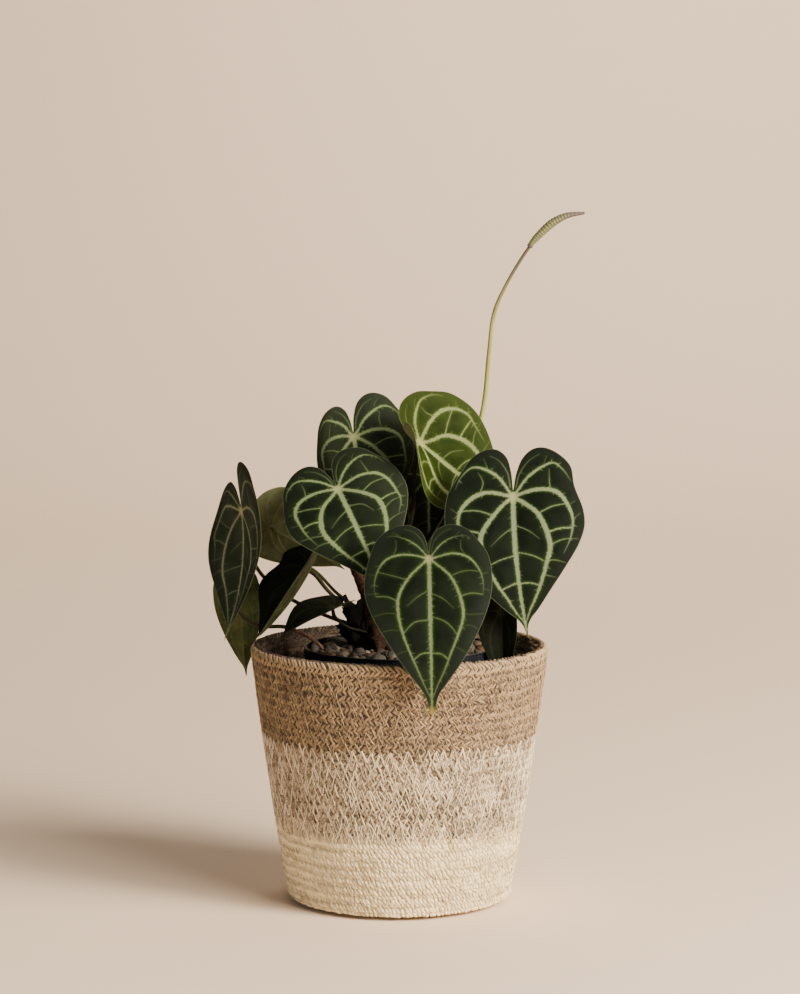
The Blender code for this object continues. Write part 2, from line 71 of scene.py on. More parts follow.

# Bands of the basket, from the floor up. Rows are counted from the floor. Plump is half
# the height of a cord in rows, below and above say which way the plies of a row's halves
# lean, and plies gives their lean in pitches, their pitch and half thickness. Zigzag is
# half the height of the stitching, half the thickness of its thread, and its pitch.
# Hidden is the share of falling and of rising legs that don't show. Groove is painted
# shade on the cords' outer side, between the plies.
BANDS = (
    dict(name="cream", rows=(0, 9), node="basket_cream_base", plump=0.76, below=-1, above=-1,
         plies=(1.3, 2.9, 1.3), seams=(1, 9), layers=1, zigzag=(3.0, 0.26, 6.5),
         hidden=(0.4, 0.85), cord=((0.50, 0.385, 0.225), (0.97, 0.81, 0.51)),
         thread=((0.62, 0.49, 0.30), (0.92, 0.77, 0.50)), uneven=(0.5, 1.3), groove=0.0),
    dict(name="mixed", rows=(9, 18), node="basket_mixed_band", plump=0.74, below=1, above=-1,
         plies=(1.5, 3.5, 1.12), seams=(9, 19), layers=2, zigzag=(5.0, 0.34, 6.6),
         hidden=(0.05, 0.3), cord=((0.115, 0.084, 0.055), (0.67, 0.51, 0.335)),
         thread=((0.40, 0.31, 0.205), (0.90, 0.76, 0.54)), uneven=(0.8, 0.35),
         groove=0.1),
    dict(name="jute", rows=(18, 28), node="basket_jute_band", plump=0.73, below=1, above=-1,
         plies=(1.75, 3.6, 1.07), seams=(19, 28), layers=2, zigzag=(5.2, 0.29, 7.6),
         hidden=(0.2, 0.85), cord=((0.075, 0.055, 0.043), (0.40, 0.276, 0.158)),
         thread=((0.23, 0.155, 0.095), (0.48, 0.34, 0.19)), uneven=(0.3, 0.3),
         groove=0.25),
)

# Nursery pot and what lies on its soil
POT_TOP = 188.0
POT_RIM_RADIUS = 70.0
POT_RIM_HEIGHT = 12.0
POT_WALL = 1.5
POT_RIBS = 150
BED_TOP = 183.0
BED_RADIUS = POT_RIM_RADIUS - POT_WALL - 1.2
STEM_FOOT = (-17, 0, 7.5)     # x, y and radius that stones keep clear of
STONE_SIZES = ((5.2, 60), (3.6, 400), (2.2, 1500), (1.1, 1500))     # and how many tries
STONE_KINDS = (0.1, 0.3, 0.5, 0.7, 0.9)     # grey, tan, clay, dark bark, chip of bark

# Stem, in rows of x, y, z, radius
TRUNK_PATH = ((-15, 0, 166, 7), (-16, 0, 188, 7), (-18, 1, 203, 6.2),
              (-23, 3, 222, 5), (-31, 5, 242, 4.3), (-36, 6, 252, 3))
PEDUNCLE_PATH = ((-22, 3, 222, 1.8), (-2, 14, 236, 1.7), (24, 30, 268, 1.6), (50, 44, 318, 1.5),
                 (62.5, 48, 359, 1.45), (67, 48, 401, 1.4), (71, 48, 432, 1.35),
                 (80.5, 48, 454, 1.3), (92, 48, 473.5, 1.25), (96.5, 48, 480, 1.25))
SPADIX_PATH = ((96.8, 48, 480.5, 1.6), (99, 48, 484, 2.1), (105, 48, 490.4, 2.7),
               (114, 48, 498.4, 2.9), (124, 48, 503.6, 2.2), (138, 48, 505.8, 0.9))

# Leaf blades, as in the CAD model: outline of one half, along and across
HALF_OUTLINE = ((-0.5, 0.035), (-0.82, 0.12), (-0.98, 0.26), (-1.0, 0.41),
                (-0.87, 0.61), (-0.56, 0.79), (-0.15, 0.93), (0.13, 1.0), (0.25, 0.98),
                (0.38, 0.88), (0.54, 0.68), (0.69, 0.44), (0.81, 0.22), (0.865, 0.10),
                (0.91, 0.04), (1.0, 0.0))
BROAD_TAIL = ((0.69, 0.445), (0.80, 0.235), (0.86, 0.125), (0.905, 0.075), (0.96, 0.048),
              (1.0, 0.0))
CUP_REACH = 0.55
CUP_POWER = 1.4
KNEE_LENGTH = 6.0
BLADE_THICKNESS = 0.8

# The leaves. Seat and tip are the ends of the midrib, face is where the upper side looks,
# and arch, lobe_bend and sway curve the midrib and the lobes. The pairs are for the left
# and the right half: width, length of the lobe, fold at the midrib, curl of the sides, cup
# of the lobe, ripple of the outline and a painted greyish sheen. Wave is how far the sides
# go up and down, and thick the petiole's radius. Angles are in degrees. The front leaf has a
# broad tail and short side veins. The plain leaf has what most leaves share.
PLAIN_LEAF = dict(cup=(0, 0), lobe_bend=0, sway=0, ripple=(0.02, -0.015), notch=0.15,
                  bloom=(0.0, 0.0), front=False)
LEAVES = {
    "01": dict(
        skin="front_leaf",
        seat=(21, -88, 263), tip=(23, -127, 157), face=(0, -1, 0.35), width=(46, 45),
        lobe=(33, 33), fold=(8, 8), curl=(-22, -22), arch=46, lobe_bend=16, wave=0.8, thick=1.8,
        petiole=((-20, 0, 210), (-8, -26, 230), (8, -58, 242), (18, -76, 250)), front=True),
    "02": dict(
        skin="velvet_leaf", stalk="shaded_petiole_skin",
        seat=(83, -18, 300), tip=(93, -52, 201), face=(0.05, -1, 0.2), width=(51, 51),
        lobe=(39, 37), fold=(8, 8), curl=(-18, -18), arch=20, sway=12, wave=1.2, thick=1.9,
        ripple=(-0.02, 0.045),
        petiole=((-20, 2, 217), (20, 10, 238), (60, 6, 266), (80, -4, 288))),
    "03": dict(
        skin="upper_leaf",
        seat=(-45, -8, 305), tip=(-10, -64, 236), face=(-0.1, -0.78, 0.62), width=(46, 48),
        lobe=(34, 36), fold=(6, 8), curl=(-20, -20), arch=30, wave=0.8, thick=1.7,
        bloom=(0, 0.35), petiole=((-33, 5, 246), (-39, 3, 262), (-44, 2, 280), (-45, 1, 291))),
    "04": dict(
        skin="upper_leaf",
        seat=(-34, 54, 338), tip=(-21, 38, 262), face=(0.2, -0.9, 0.4), width=(34, 45.5),
        lobe=(26, 32), fold=(0, 10), curl=(-66, -16), arch=12, sway=4, wave=0.8, thick=1.6,
        bloom=(1.0, 0.45),
        petiole=((-32, 5, 244), (-34, 40, 250), (-33, 66, 272), (-32, 74, 306))),
    "05": dict(
        skin="young_leaf",
        seat=(15, 24, 336), tip=(81, 40, 281), face=(0, -0.95, 0.25), width=(40, 47),
        lobe=(20, 29), fold=(18, 2), cup=(84, 0), curl=(0, -12), arch=12, wave=0.8, thick=1.6,
        petiole=((-26, 4, 229), (-4, 9, 250), (9, 15, 281), (11, 22, 310))),
    "06": dict(
        skin="side_leaf",
        seat=(-115, -22, 290), tip=(-128, -30, 196), face=(-0.86, -0.46, 0.1), width=(43, 42),
        lobe=(20, 38), fold=(24, 15), cup=(-30, -11), curl=(-8, -8), arch=-34, lobe_bend=-6,
        wave=0.8, thick=1.5,
        petiole=((-18, 2, 198), (-56, 34, 206), (-88, 50, 220), (-106, 48, 238), (-111, 22, 262))),
    "07": dict(
        skin="hidden_leaf", stalk="pink_petiole_skin",
        seat=(-119, 15, 226), tip=(-114, 22, 161), face=(-0.1, 1, 0.05), width=(22, 26),
        lobe=(16, 16), fold=(40, 44), curl=(0, 0), arch=8, wave=0.5, thick=1.5,
        petiole=((-55, -5, 170), (-57, -5, 187), (-82, -5, 202), (-104, -1, 203), (-117, 4, 211))),
    "08": dict(
        skin="pale_backed_leaf", stalk="green_petiole_skin",
        seat=(-97, 50, 270), tip=(-41, 84, 234), face=(-0.15, 1, 0.1), width=(37, 28),
        lobe=(24, 18), fold=(8, 24), curl=(-10, 0), arch=16, wave=0.6, thick=1.3, notch=0.75,
        petiole=((-21, 3, 209), (-46, 20, 224), (-62, 36, 238), (-86, 43, 253))),
    "09": dict(
        skin="shaded_leaf",
        seat=(-67, 6, 243), tip=(-107, -30, 196), face=(-0.72, -0.12, 0.65), width=(35, 36),
        lobe=(22, 22), fold=(36, 26), curl=(-8, -8), arch=-20, wave=0.5, thick=1.5,
        ripple=(0.10, -0.015), petiole=((-20, 2, 205), (-38, 6, 215), (-53, 8, 228))),
    "10": dict(
        skin="shaded_leaf", stalk="shaded_petiole_skin",
        seat=(-49, -14, 218), tip=(-87, -38, 200), face=(-0.35, -0.25, 0.9), width=(24, 24),
        lobe=(14, 14), fold=(18, 20), curl=(-6, -6), arch=16, wave=0.5, thick=1.3,
        petiole=((-17, 0, 196), (-28, -8, 200), (-39, -13, 204), (-46, -14, 210))),
    "11": dict(
        skin="shaded_leaf",
        seat=(74, -31, 217), tip=(76, -37, 161), face=(0, -1, 0.1), width=(17, 15),
        lobe=(14, 14), fold=(8, 44), curl=(-8, 0), arch=8, wave=0.3, thick=1.4,
        petiole=((-16, 2, 193), (20, 6, 210), (56, -2, 224), (72, -16, 222))),
    "12": dict(
        skin="hidden_leaf",
        seat=(22, 72, 305), tip=(23, 52, 232), face=(0, -0.95, 0.3), width=(32, 32),
        lobe=(30, 30), fold=(14, 14), curl=(-12, -12), arch=16, wave=0.5, thick=1.5,
        petiole=((-29, 5, 236), (-24, 40, 250), (-4, 76, 270), (15, 86, 294))),
}

# Main veins of one half: points along and across as in the outline, then the half
# width in millimetres at the start, in the middle and at the end, and how much of
# the paleness is left at the end
VEINS = {
    "inner": (((0, 0), (0.05, 0.13), (0.14, 0.33), (0.26, 0.47), (0.38, 0.50), (0.50, 0.43),
               (0.62, 0.31), (0.73, 0.19), (0.81, 0.10), (0.88, 0.025)), (1.2, 2.0, 0.35), 0.75),
    "outer": (((0, 0), (-0.06, 0.16), (-0.11, 0.38), (-0.03, 0.62), (0.08, 0.77), (0.20, 0.82),
               (0.32, 0.78), (0.44, 0.68)), (1.2, 1.8, 0.1), 0.2),
    "lobe": (((0, 0), (-0.16, 0.08), (-0.40, 0.21), (-0.60, 0.42), (-0.64, 0.60),
              (-0.48, 0.74), (-0.24, 0.84)), (0.9, 1.3, 0.1), 0.15),
    "basal": (((-0.2, 0.04), (-0.48, 0.09), (-0.74, 0.22), (-0.86, 0.36)), (0.5, 0.3, 0.1), 0.2),
}
MIDRIB_WIDTH = (1.9, 1.9, 0.7)
HUB_PALER = (1.9, 1.55, 1.4)     # the hub's colour is the veins' colour times this
HUB_RADIUS = 2.6
# Greyish colour of the painted sheen on some leaf halves
PAINTED_SHEEN_COLOUR = (0.026, 0.031, 0.018)
FINE_LEAVES = ("01", "02", "03", "04", "05", "06")     # these have spurs
OUTER_REACH = 0.74       # share of the outer and lobe veins that shows on the front leaf
SPUR_REACH = 0.9         # share of the main veins that has spurs
# How bold the veins are on some leaves, and on most others. The faint veins of leaves 07 to 12 are
# painted shade.
VEIN_NAMES = ("midrib", "inner", "outer", "lobe", "basal", "margin")
BOLDNESS = {
    "01": (0.66, 0.48, 0.45, 0.34, 0.1, 0.3),
    "02": (0.85, 0.88, 0.85, 0.75, 0.6, 0.8),
    "05": (0.85, 0.82, 0.78, 0.68, 0.5, 0.65),
    "06": (0.55, 0.52, 0.5, 0.4, 0.35, 0.6),
    "12": (0.5, 0.3, 0.3, 0.3, 0.3, 0.3),
    **dict.fromkeys(("07", "08", "09", "10", "11"), (0.35,) * 6),
}
MOST_BOLDNESS = (0.85, 0.85, 0.8, 0.75, 0.6, 0.7)
# Rungs between two veins, or from a vein to the margin: first vein and share of its
# length, second vein and share, how much of the way it goes, its half width at the
# start, and its paleness
RUNGS = (
    ("midrib", 0.23, "inner", 0.46, 0.72, 0.32, 0.5),
    ("midrib", 0.42, "inner", 0.58, 1.0, 0.4, 0.65),
    ("midrib", 0.63, "inner", 0.76, 1.0, 0.55, 0.8),
    ("inner", 0.20, "outer", 0.52, 1.0, 0.45, 0.65),
    ("inner", 0.35, "outer", 0.74, 1.0, 0.7, 0.8),
    ("inner", 0.46, "margin", 0.60, 0.9, 0.5, 0.65),
    ("inner", 0.56, "margin", 0.68, 0.9, 0.42, 0.6),
    ("inner", 0.68, "margin", 0.76, 0.85, 0.3, 0.5),
    ("outer", 0.32, "lobe", 0.58, 0.8, 0.4, 0.45),
    ("outer", 0.56, "margin", 0.44, 0.6, 0.22, 0.3),
    ("outer", 0.70, "margin", 0.51, 0.7, 0.22, 0.3),
    ("lobe", 0.50, "margin", 0.24, 0.6, 0.2, 0.3),
)

# Skins of the leaves: dark and light lamina, paleness beside the veins, veins, dark and
# light underside, end of the tip, and rim, a painted sheen towards the margin
UNDER = ((0.028, 0.034, 0.012), (0.058, 0.066, 0.024))
BROWN = (0.06, 0.05, 0.02)
DARK_BROWN = (0.03, 0.025, 0.012)
# Tops of the leaves at the back, with veins and paleness dimmed as painted shade
HIDDEN_TOP = ((0.0025, 0.0038, 0.0018), (0.006, 0.008, 0.0035), (0.010, 0.018, 0.004),
              (0.08, 0.09, 0.042))
LEAF_SKINS = {
    "velvet_leaf": ((0.0018, 0.0034, 0.0012), (0.0040, 0.0073, 0.0027), (0.012, 0.026, 0.003),
                    (0.13, 0.158, 0.084), *UNDER, BROWN, (0.0055, 0.0080, 0.0045)),
    "upper_leaf": ((0.0043, 0.0067, 0.0033), (0.0090, 0.0134, 0.0066), (0.016, 0.035, 0.004),
                   (0.15, 0.185, 0.092), *UNDER, BROWN, (0.0085, 0.0120, 0.0065)),
    "front_leaf": ((0.0026, 0.0045, 0.0018), (0.0054, 0.0088, 0.0036), (0.014, 0.033, 0.0025),
                   (0.098, 0.122, 0.061), *UNDER, (0.19, 0.15, 0.03), (0.0082, 0.0110, 0.0072)),
    "side_leaf": ((0.0165, 0.0250, 0.0150), (0.0300, 0.0420, 0.0265), (0.038, 0.054, 0.026),
                  (0.190, 0.215, 0.130), *UNDER, BROWN, (0.014, 0.019, 0.012)),
    # Painted shade: a dark copy of the leaf skin with dim veins, for leaves 09 to 11; its paler
    # underside is painted light
    "shaded_leaf": ((0.0055, 0.0062, 0.0034), (0.0105, 0.0120, 0.0062), (0.007, 0.009, 0.004),
                    (0.018, 0.022, 0.010), (0.042, 0.047, 0.020), (0.085, 0.092, 0.042),
                    DARK_BROWN, (0.005, 0.006, 0.003)),
    "hidden_leaf": (*HIDDEN_TOP, *UNDER, DARK_BROWN, (0.008, 0.010, 0.005)),
    # The underside here is lighter than on the other leaves, as painted light
    "pale_backed_leaf": (*HIDDEN_TOP, (0.055, 0.062, 0.028), (0.095, 0.104, 0.050), BROWN,
                         (0.008, 0.010, 0.005)),
    # The young leaf's pale underside is partly its own colour and partly painted light on the lobe
    # that faces away from the lamps
    "young_leaf": ((0.0100, 0.0178, 0.0014), (0.0190, 0.0305, 0.0030), (0.031, 0.051, 0.005),
                   (0.158, 0.186, 0.078), (0.14, 0.155, 0.068), (0.19, 0.205, 0.095),
                   (0.12, 0.12, 0.03), (0.022, 0.034, 0.004)),
}
STALK_SKINS = {
    "petiole_skin": dict(dark=(0.012, 0.010, 0.0045), light=(0.030, 0.026, 0.010)),
    "pink_petiole_skin": dict(dark=(0.07, 0.035, 0.022), light=(0.15, 0.08, 0.052),
                              withered=(0.020, 0.018, 0.008)),
    # Painted shade: a nearly black copy of the petiole skin, for the stalks of leaves 02 and 10
    "shaded_petiole_skin": dict(dark=(0.003, 0.003, 0.0015), light=(0.007, 0.007, 0.003)),
    "green_petiole_skin": dict(dark=(0.05, 0.055, 0.018), light=(0.09, 0.095, 0.035)),
    # The stem's dark colour is partly its own and partly painted shade
    "stem_skin": dict(dark=(0.007, 0.0035, 0.0025), light=(0.042, 0.019, 0.011),
                      stretch=(1, 1, 1), roughness=0.75),
    # The dry scales' nearly black colour is partly their own and partly painted shade at the
    # stem's foot
    "dry_scale": dict(dark=(0.0010, 0.0008, 0.0007), light=(0.0038, 0.0026, 0.0018),
                      stretch=(1, 1, 0.3), roughness=0.9),
    "stalk_skin": dict(dark=(0.19, 0.195, 0.058), light=(0.29, 0.285, 0.095)),
}

# Lights: place, what they point at, size, power and colour
LIGHTS = {
    "key": ((2.27, -1.38, 1.58), (0, 0, 0.15), 1.3, 195, (1.0, 0.91, 0.77)),
    "key_front": ((1.82, -1.97, 1.50), (0, 0, 0.15), 1.8, 148, (1.0, 0.91, 0.77)),
    "fill": ((-0.5, -2.4, 0.35), (0, 0, 0.2), 1.2, 16, (1.0, 0.97, 0.94)),
    "wall": ((0.9, 2.1, 3.0), (0.2, 4.2, 1.2), 1.6, 104, (1.0, 0.93, 0.82)),
}

# Camera, surroundings and backdrop
CAMERA_PLACE = (0.00052, -2.1934, 0.5163)
CAMERA_FALL = 0.0991     # how far it looks down, in radians
CAMERA_LENS = 108.65
SKY_COLOUR = (0.86, 0.97, 1.12, 1)
SKY_STRENGTH = 0.095
ROOM_COLOUR = (1.05, 0.87, 0.70, 1)
PAPER_COLOUR = (0.80, 0.627, 0.465)


def smooth_path(points, steps):
    """Points on a centripetal Catmull-Rom curve through rows of numbers."""
    rows = [Vector(p) for p in points]
    rows = [2 * rows[0] - rows[1], *rows, 2 * rows[-1] - rows[-2]]
    path = []
    for a, b, c, d in zip(rows, rows[1:], rows[2:], rows[3:]):
        t_b = (b - a).length ** 0.5
        t_c = t_b + (c - b).length ** 0.5
        t_d = t_c + (d - c).length ** 0.5
        for k in range(steps):
            t = t_b + (t_c - t_b) * k / steps
            ab = a.lerp(b, t / t_b)
            bc = b.lerp(c, (t - t_b) / (t_c - t_b))
            cd = c.lerp(d, (t - t_c) / (t_d - t_c))
            abc = ab.lerp(bc, t / t_c)
            bcd = bc.lerp(cd, (t - t_b) / (t_d - t_b))
            path.append(abc.lerp(bcd, (t - t_b) / (t_c - t_b)))
    path.append(rows[-2])
    return path


def marks(path):
    """The way along a path at each of its points."""
    way = [0.0]
    for a, b in zip(path, path[1:]):
        way.append(way[-1] + (b - a).length)
    return way


def at_way(path, way, goal):
    """Point and direction where the way along a path reaches a goal."""
    k = min(bisect_left(way, goal, 1), len(path) - 1) - 1
    part = (goal - way[k]) / (way[k + 1] - way[k])
    return path[k].lerp(path[k + 1], part), (path[k + 1] - path[k]).normalized()


def at_share(path, share):
    """Point and direction at a share of a path's length."""
    way = marks(path)
    return at_way(path, way, share * way[-1])


def spaced(path, pitch):
    """The same path with evenly spaced points, about a pitch apart."""
    way = marks(path)
    count = max(2, round(way[-1] / pitch) + 1)
    return [at_way(path, way, way[-1] * i / (count - 1))[0] for i in range(count)]


def unit(values):
    """The values, kept from 0 to 1."""
    return np.clip(values, 0, 1)


def around(radius, angle, z):
    """The point at a radius, an angle and a height."""
    return radius * math.cos(angle), radius * math.sin(angle), z


def spun(radius, angle, z):
    """Arrays of radii, angles and heights as one array of points."""
    return np.stack(np.broadcast_arrays(radius * np.cos(angle), radius * np.sin(angle), z),
                    axis=-1)


def grid_faces(rows, columns, closed=(False, True), flip=False, base=0):
    """Faces between rows of points. Closed says whether rows and columns meet their firsts."""
    faces = []
    for i in range(rows if closed[0] else rows - 1):
        low, high = base + i * columns, base + (i + 1) % rows * columns
        for j in range(columns if closed[1] else columns - 1):
            k = (j + 1) % columns
            face = (low + j, low + k, high + k, high + j)
            faces.append((face[0], *face[:0:-1]) if flip else face)
    return faces


def joined(parts):
    """Points and faces of several parts as one."""
    faces = []
    base = 0
    for verts, part_faces, *_ in parts:
        faces += [tuple(i + base for i in face) for face in part_faces]
        base += len(verts)
    return np.vstack([part[0] for part in parts]), faces


def piece(name, verts, faces, mat, slot, smooth=True, sharp=None, **attributes):
    """A mesh from arrays of points in millimetres and of faces, riding on the part."""
    mesh = bpy.data.meshes.new(name)
    verts = np.asarray(verts, dtype=float) * MM
    mesh.from_pydata(verts.tolist(), [], [tuple(f) for f in faces])
    mesh.materials.append(mat)
    for key, values in attributes.items():
        layer = mesh.attributes.new(key, "FLOAT", "POINT")
        layer.data.foreach_set("value", np.asarray(values, dtype=np.float32))
    if smooth:
        mesh.shade_smooth()
    if sharp:
        mesh.set_sharp_from_angle(angle=math.radians(sharp))
    obj = added(name, mesh)
    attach(obj, "root")
    return obj


class Nodes:
    """Short calls that add shader nodes to one material."""

    def __init__(self, name):
        self.mat = bpy.data.materials.new(name)
        self.mat.use_nodes = True
        self.tree = self.mat.node_tree
        self.shader = self.tree.nodes["Principled BSDF"]

    def feed(self, socket, value):
        """Links an output to a socket, or sets the socket to a value."""
        if hasattr(value, "is_output"):
            self.tree.links.new(value, socket)
        else:
            socket.default_value = (*value, 1.0) if socket.type == "RGBA" else value

    def add(self, kind, sockets, out, **values):
        """One output of a new node, whose sockets are fed."""
        node = self.tree.nodes.new(kind)
        for key, value in values.items():
            setattr(node, key, value)
        for key, value in sockets.items():
            self.feed(node.inputs[key], value)
        return node.outputs[out]

    def attribute(self, name):
        return self.add("ShaderNodeAttribute", {}, "Fac", attribute_name=name)

    def noise(self, size, detail=3.0, roughness=0.55, stretch=(1, 1, 1)):
        """Noise with lumps of about a size in millimetres, from 0 to 1."""
        place = self.add("ShaderNodeTexCoord", {}, "Object")
        place = self.add("ShaderNodeMapping", {"Vector": place, "Scale": stretch}, "Vector")
        return self.add("ShaderNodeTexNoise", {
            "Vector": place, "Scale": 1 / (size * MM), "Detail": detail,
            "Roughness": roughness}, "Fac")

    def math(self, operation, a, b=0.0):
        return self.add("ShaderNodeMath", {0: a, 1: b}, 0, operation=operation)

    def times(self, a, b):
        return self.math("MULTIPLY", a, b)

    def plus(self, a, b):
        return self.math("ADD", a, b)

    def minus(self, a, b):
        return self.math("SUBTRACT", a, b)

    def ramp(self, value, low, high, start=0.0, end=1.0):
        """Smooth step of value between low and high."""
        return self.add("ShaderNodeMapRange", {
            "Value": value, "From Min": low, "From Max": high, "To Min": start,
            "To Max": end}, "Result", interpolation_type="SMOOTHSTEP")

    def mix(self, share, a, b):
        return self.add("ShaderNodeMix", {"Factor": share, "A": a, "B": b}, "Result",
                        data_type="RGBA")

    def bump(self, height, depth, strength=1.0):
        """Bump whose height runs from 0 to 1 over a depth in millimetres."""
        self.feed(self.shader.inputs["Normal"], self.add("ShaderNodeBump", {
            "Height": height, "Distance": depth * MM, "Strength": strength}, "Normal"))

    def finish(self, colour, roughness, **sockets):
        """The material, with the sockets of its surface fed."""
        sockets.update(Base_Color=colour, Roughness=roughness)
        for key, value in sockets.items():
            self.feed(self.shader.inputs[key.replace("_", " ")], value)
        return self.mat


def leaf_material(name, dark, light, halo, vein, under_dark, under_light, tail, rim):
    """Velvety blade with pale feathered veins, and a duller underside."""
    n = Nodes(name)
    gap = n.attribute("vein_gap")
    tone = n.attribute("vein_tone")
    edge = n.attribute("edge_gap")
    blotch = n.noise(16, detail=2)
    fine = n.noise(1.4, detail=4)
    feather = n.times(n.minus(n.noise(1.2, detail=3, roughness=0.65), 0.5), 3.3)
    torn = n.plus(gap, n.times(feather, n.ramp(tone, 0.25, 1.0, 0.15, 1.0)))
    lamina = n.mix(n.ramp(blotch, 0.35, 0.7), dark, light)
    lamina = n.mix(n.ramp(fine, 0.4, 0.8, 0.0, 0.5), lamina, light)
    # Painted sheen: the rim colour spreads in from the margin
    lamina = n.mix(n.ramp(edge, 15, 2, 0.0, 0.8), lamina, rim)
    # Painted sheen: a greyish film over some halves
    lamina = n.mix(n.attribute("bloom"), lamina, PAINTED_SHEEN_COLOUR)
    glow = n.times(n.ramp(torn, 2.4, 0.0), n.ramp(tone, 0.1, 0.9, 0.15, 1.0))
    glow = n.times(glow, n.ramp(blotch, 0.25, 0.65, 0.55, 1.0))
    upper = n.mix(glow, lamina, halo)
    upper = n.mix(n.ramp(edge, 0.55, 0.2, 0.0, 0.4), upper, vein)
    core = n.times(n.ramp(torn, 0.62, -0.5), n.ramp(tone, 0.0, 0.9, 0.25, 1.0))
    upper = n.mix(core, upper, vein)
    hub = n.times(n.ramp(n.attribute("hub_gap"), 7.0, 0.5, 0.0, 0.75), n.ramp(torn, 1.6, -0.6))
    upper = n.mix(hub, upper, tuple(pale * c for pale, c in zip(HUB_PALER, vein)))
    below = n.mix(n.ramp(blotch, 0.3, 0.75), under_dark, under_light)
    below = n.mix(n.ramp(gap, 0.5, -0.3, 0.0, 0.45), below, tuple(1.5 * c for c in under_light))
    both = n.mix(n.attribute("underside"), upper, below)
    n.bump(n.noise(0.8, detail=4), 0.1, 0.5)
    return n.finish(n.mix(n.ramp(n.attribute("along"), 0.925, 0.985), both, tail),
                    n.ramp(fine, 0.2, 0.8, 0.58, 0.72),
                    Sheen_Weight=0.005, Sheen_Roughness=0.5, Specular_IOR_Level=0.05)


def cord_material(name, dark, light, uneven, plied=False):
    """Hairy plant-fibre cord. The tone attribute lightens it, and carries painted light and shade.

    Uneven says how much its colour changes by patches, and by level streaks. Plied cord
    is twisted from strands, a row of them leaning to either side.
    """
    n = Nodes(name)
    tone = n.attribute("tone")
    hair = n.noise(1.0, detail=5, roughness=0.7)
    share = n.plus(n.times(hair, 0.7), n.minus(tone, 0.39))
    for amount, stretch in zip(uneven, ((1, 1, 1.3), (0.3, 0.3, 3.2))):
        patch = n.minus(n.noise(26, detail=3, stretch=stretch), 0.5)
        share = n.plus(share, n.times(patch, amount))
    relief = hair
    if plied:
        ply = ply_pattern(n)
        share = n.plus(share, n.times(n.minus(ply, 0.65), TWIST))
        relief = n.plus(n.times(hair, 0.45), n.times(ply, TWIST))
    colour = n.mix(n.ramp(share, 0.1, 0.85), dark, light)
    # Painted shade: where the tone falls below naught, the cord darkens further
    colour = n.mix(n.ramp(tone, 0.0, -0.4), colour, tuple(0.4 * c for c in dark))
    n.bump(relief, 0.9, 0.9)
    return n.finish(colour, n.ramp(hair, 0.2, 0.8, 0.98, 0.86), Specular_IOR_Level=0.12)


def ply_pattern(n):
    """Height of a cord's strands from 0 to 1, leaning one way and the other by half rows."""
    place = n.tree.nodes.new("ShaderNodeSeparateXYZ")
    n.feed(place.inputs[0], n.add("ShaderNodeTexCoord", {}, "Object"))
    x, y, z = place.outputs
    sway = n.times(n.minus(n.noise(7, detail=3), 0.5), 1.3)
    rows = n.plus(n.math("DIVIDE", z, ROW_PITCH * MM / 2), sway)
    row, share = n.math("FLOOR", rows), n.math("FRACT", rows)
    lean = n.minus(n.times(n.math("FLOORED_MODULO", row, 2.0), 1.5), 0.4)
    phase = n.plus(n.times(n.math("ARCTAN2", y, x), STRANDS / math.tau),
                   n.times(n.times(share, lean), 0.9))
    phase = n.plus(n.plus(phase, n.times(row, 0.381)), n.times(n.noise(2.6, detail=3), 2.2))
    ply = n.math("ABSOLUTE", n.math("SINE", n.times(phase, math.pi)))
    seam = n.math("SINE", n.times(share, math.pi))
    return n.times(n.ramp(ply, 0.0, 0.65, 0.25, 1.0), n.ramp(seam, -0.5, 0.5))


def speckled_material(name, dark, light, size, roughness, depth, specular=0.3):
    """Matt stuff with speckles of a size in millimetres. The tone attribute lightens it."""
    n = Nodes(name)
    lump = n.noise(size, detail=5, roughness=0.6)
    share = n.plus(lump, n.minus(n.attribute("tone"), 0.5))
    n.bump(lump, depth, 0.7)
    return n.finish(n.mix(n.ramp(share, 0.3, 0.75), dark, light),
                    n.ramp(lump, 0.2, 0.8, roughness - 0.05, roughness + 0.05),
                    Specular_IOR_Level=specular)


def stalk_material(name, dark, light, stretch=(1, 1, 0.15), roughness=0.42,
                   withered=(0.07, 0.056, 0.038)):
    """Smooth living stalk with faint lengthwise streaks, painted shade where shaded says so,
    withered where browning says so.
    """
    n = Nodes(name)
    streaks = n.noise(2.0, detail=4, stretch=stretch)
    colour = n.mix(n.ramp(streaks, 0.3, 0.7), dark, light)
    # Painted shade: the stalk's lower part is painted nearly black
    colour = n.mix(n.attribute("shaded"), colour, (0.005, 0.005, 0.0025))
    colour = n.mix(n.times(n.attribute("browning"), 0.9), colour, withered)
    n.bump(n.noise(0.8, detail=3), 0.1, 0.5)
    rough = n.ramp(streaks, 0.2, 0.8, roughness - 0.06, roughness + 0.06)
    return n.finish(colour, rough, Specular_IOR_Level=0.08)


def arc(start, rate, length):
    """Forward and sideways reach of a line that bends at a steady rate."""
    if abs(rate) < 1e-9:
        return length * math.cos(start), length * math.sin(start)
    end = start + rate * length
    return (math.sin(end) - math.sin(start)) / rate, (math.cos(start) - math.cos(end)) / rate


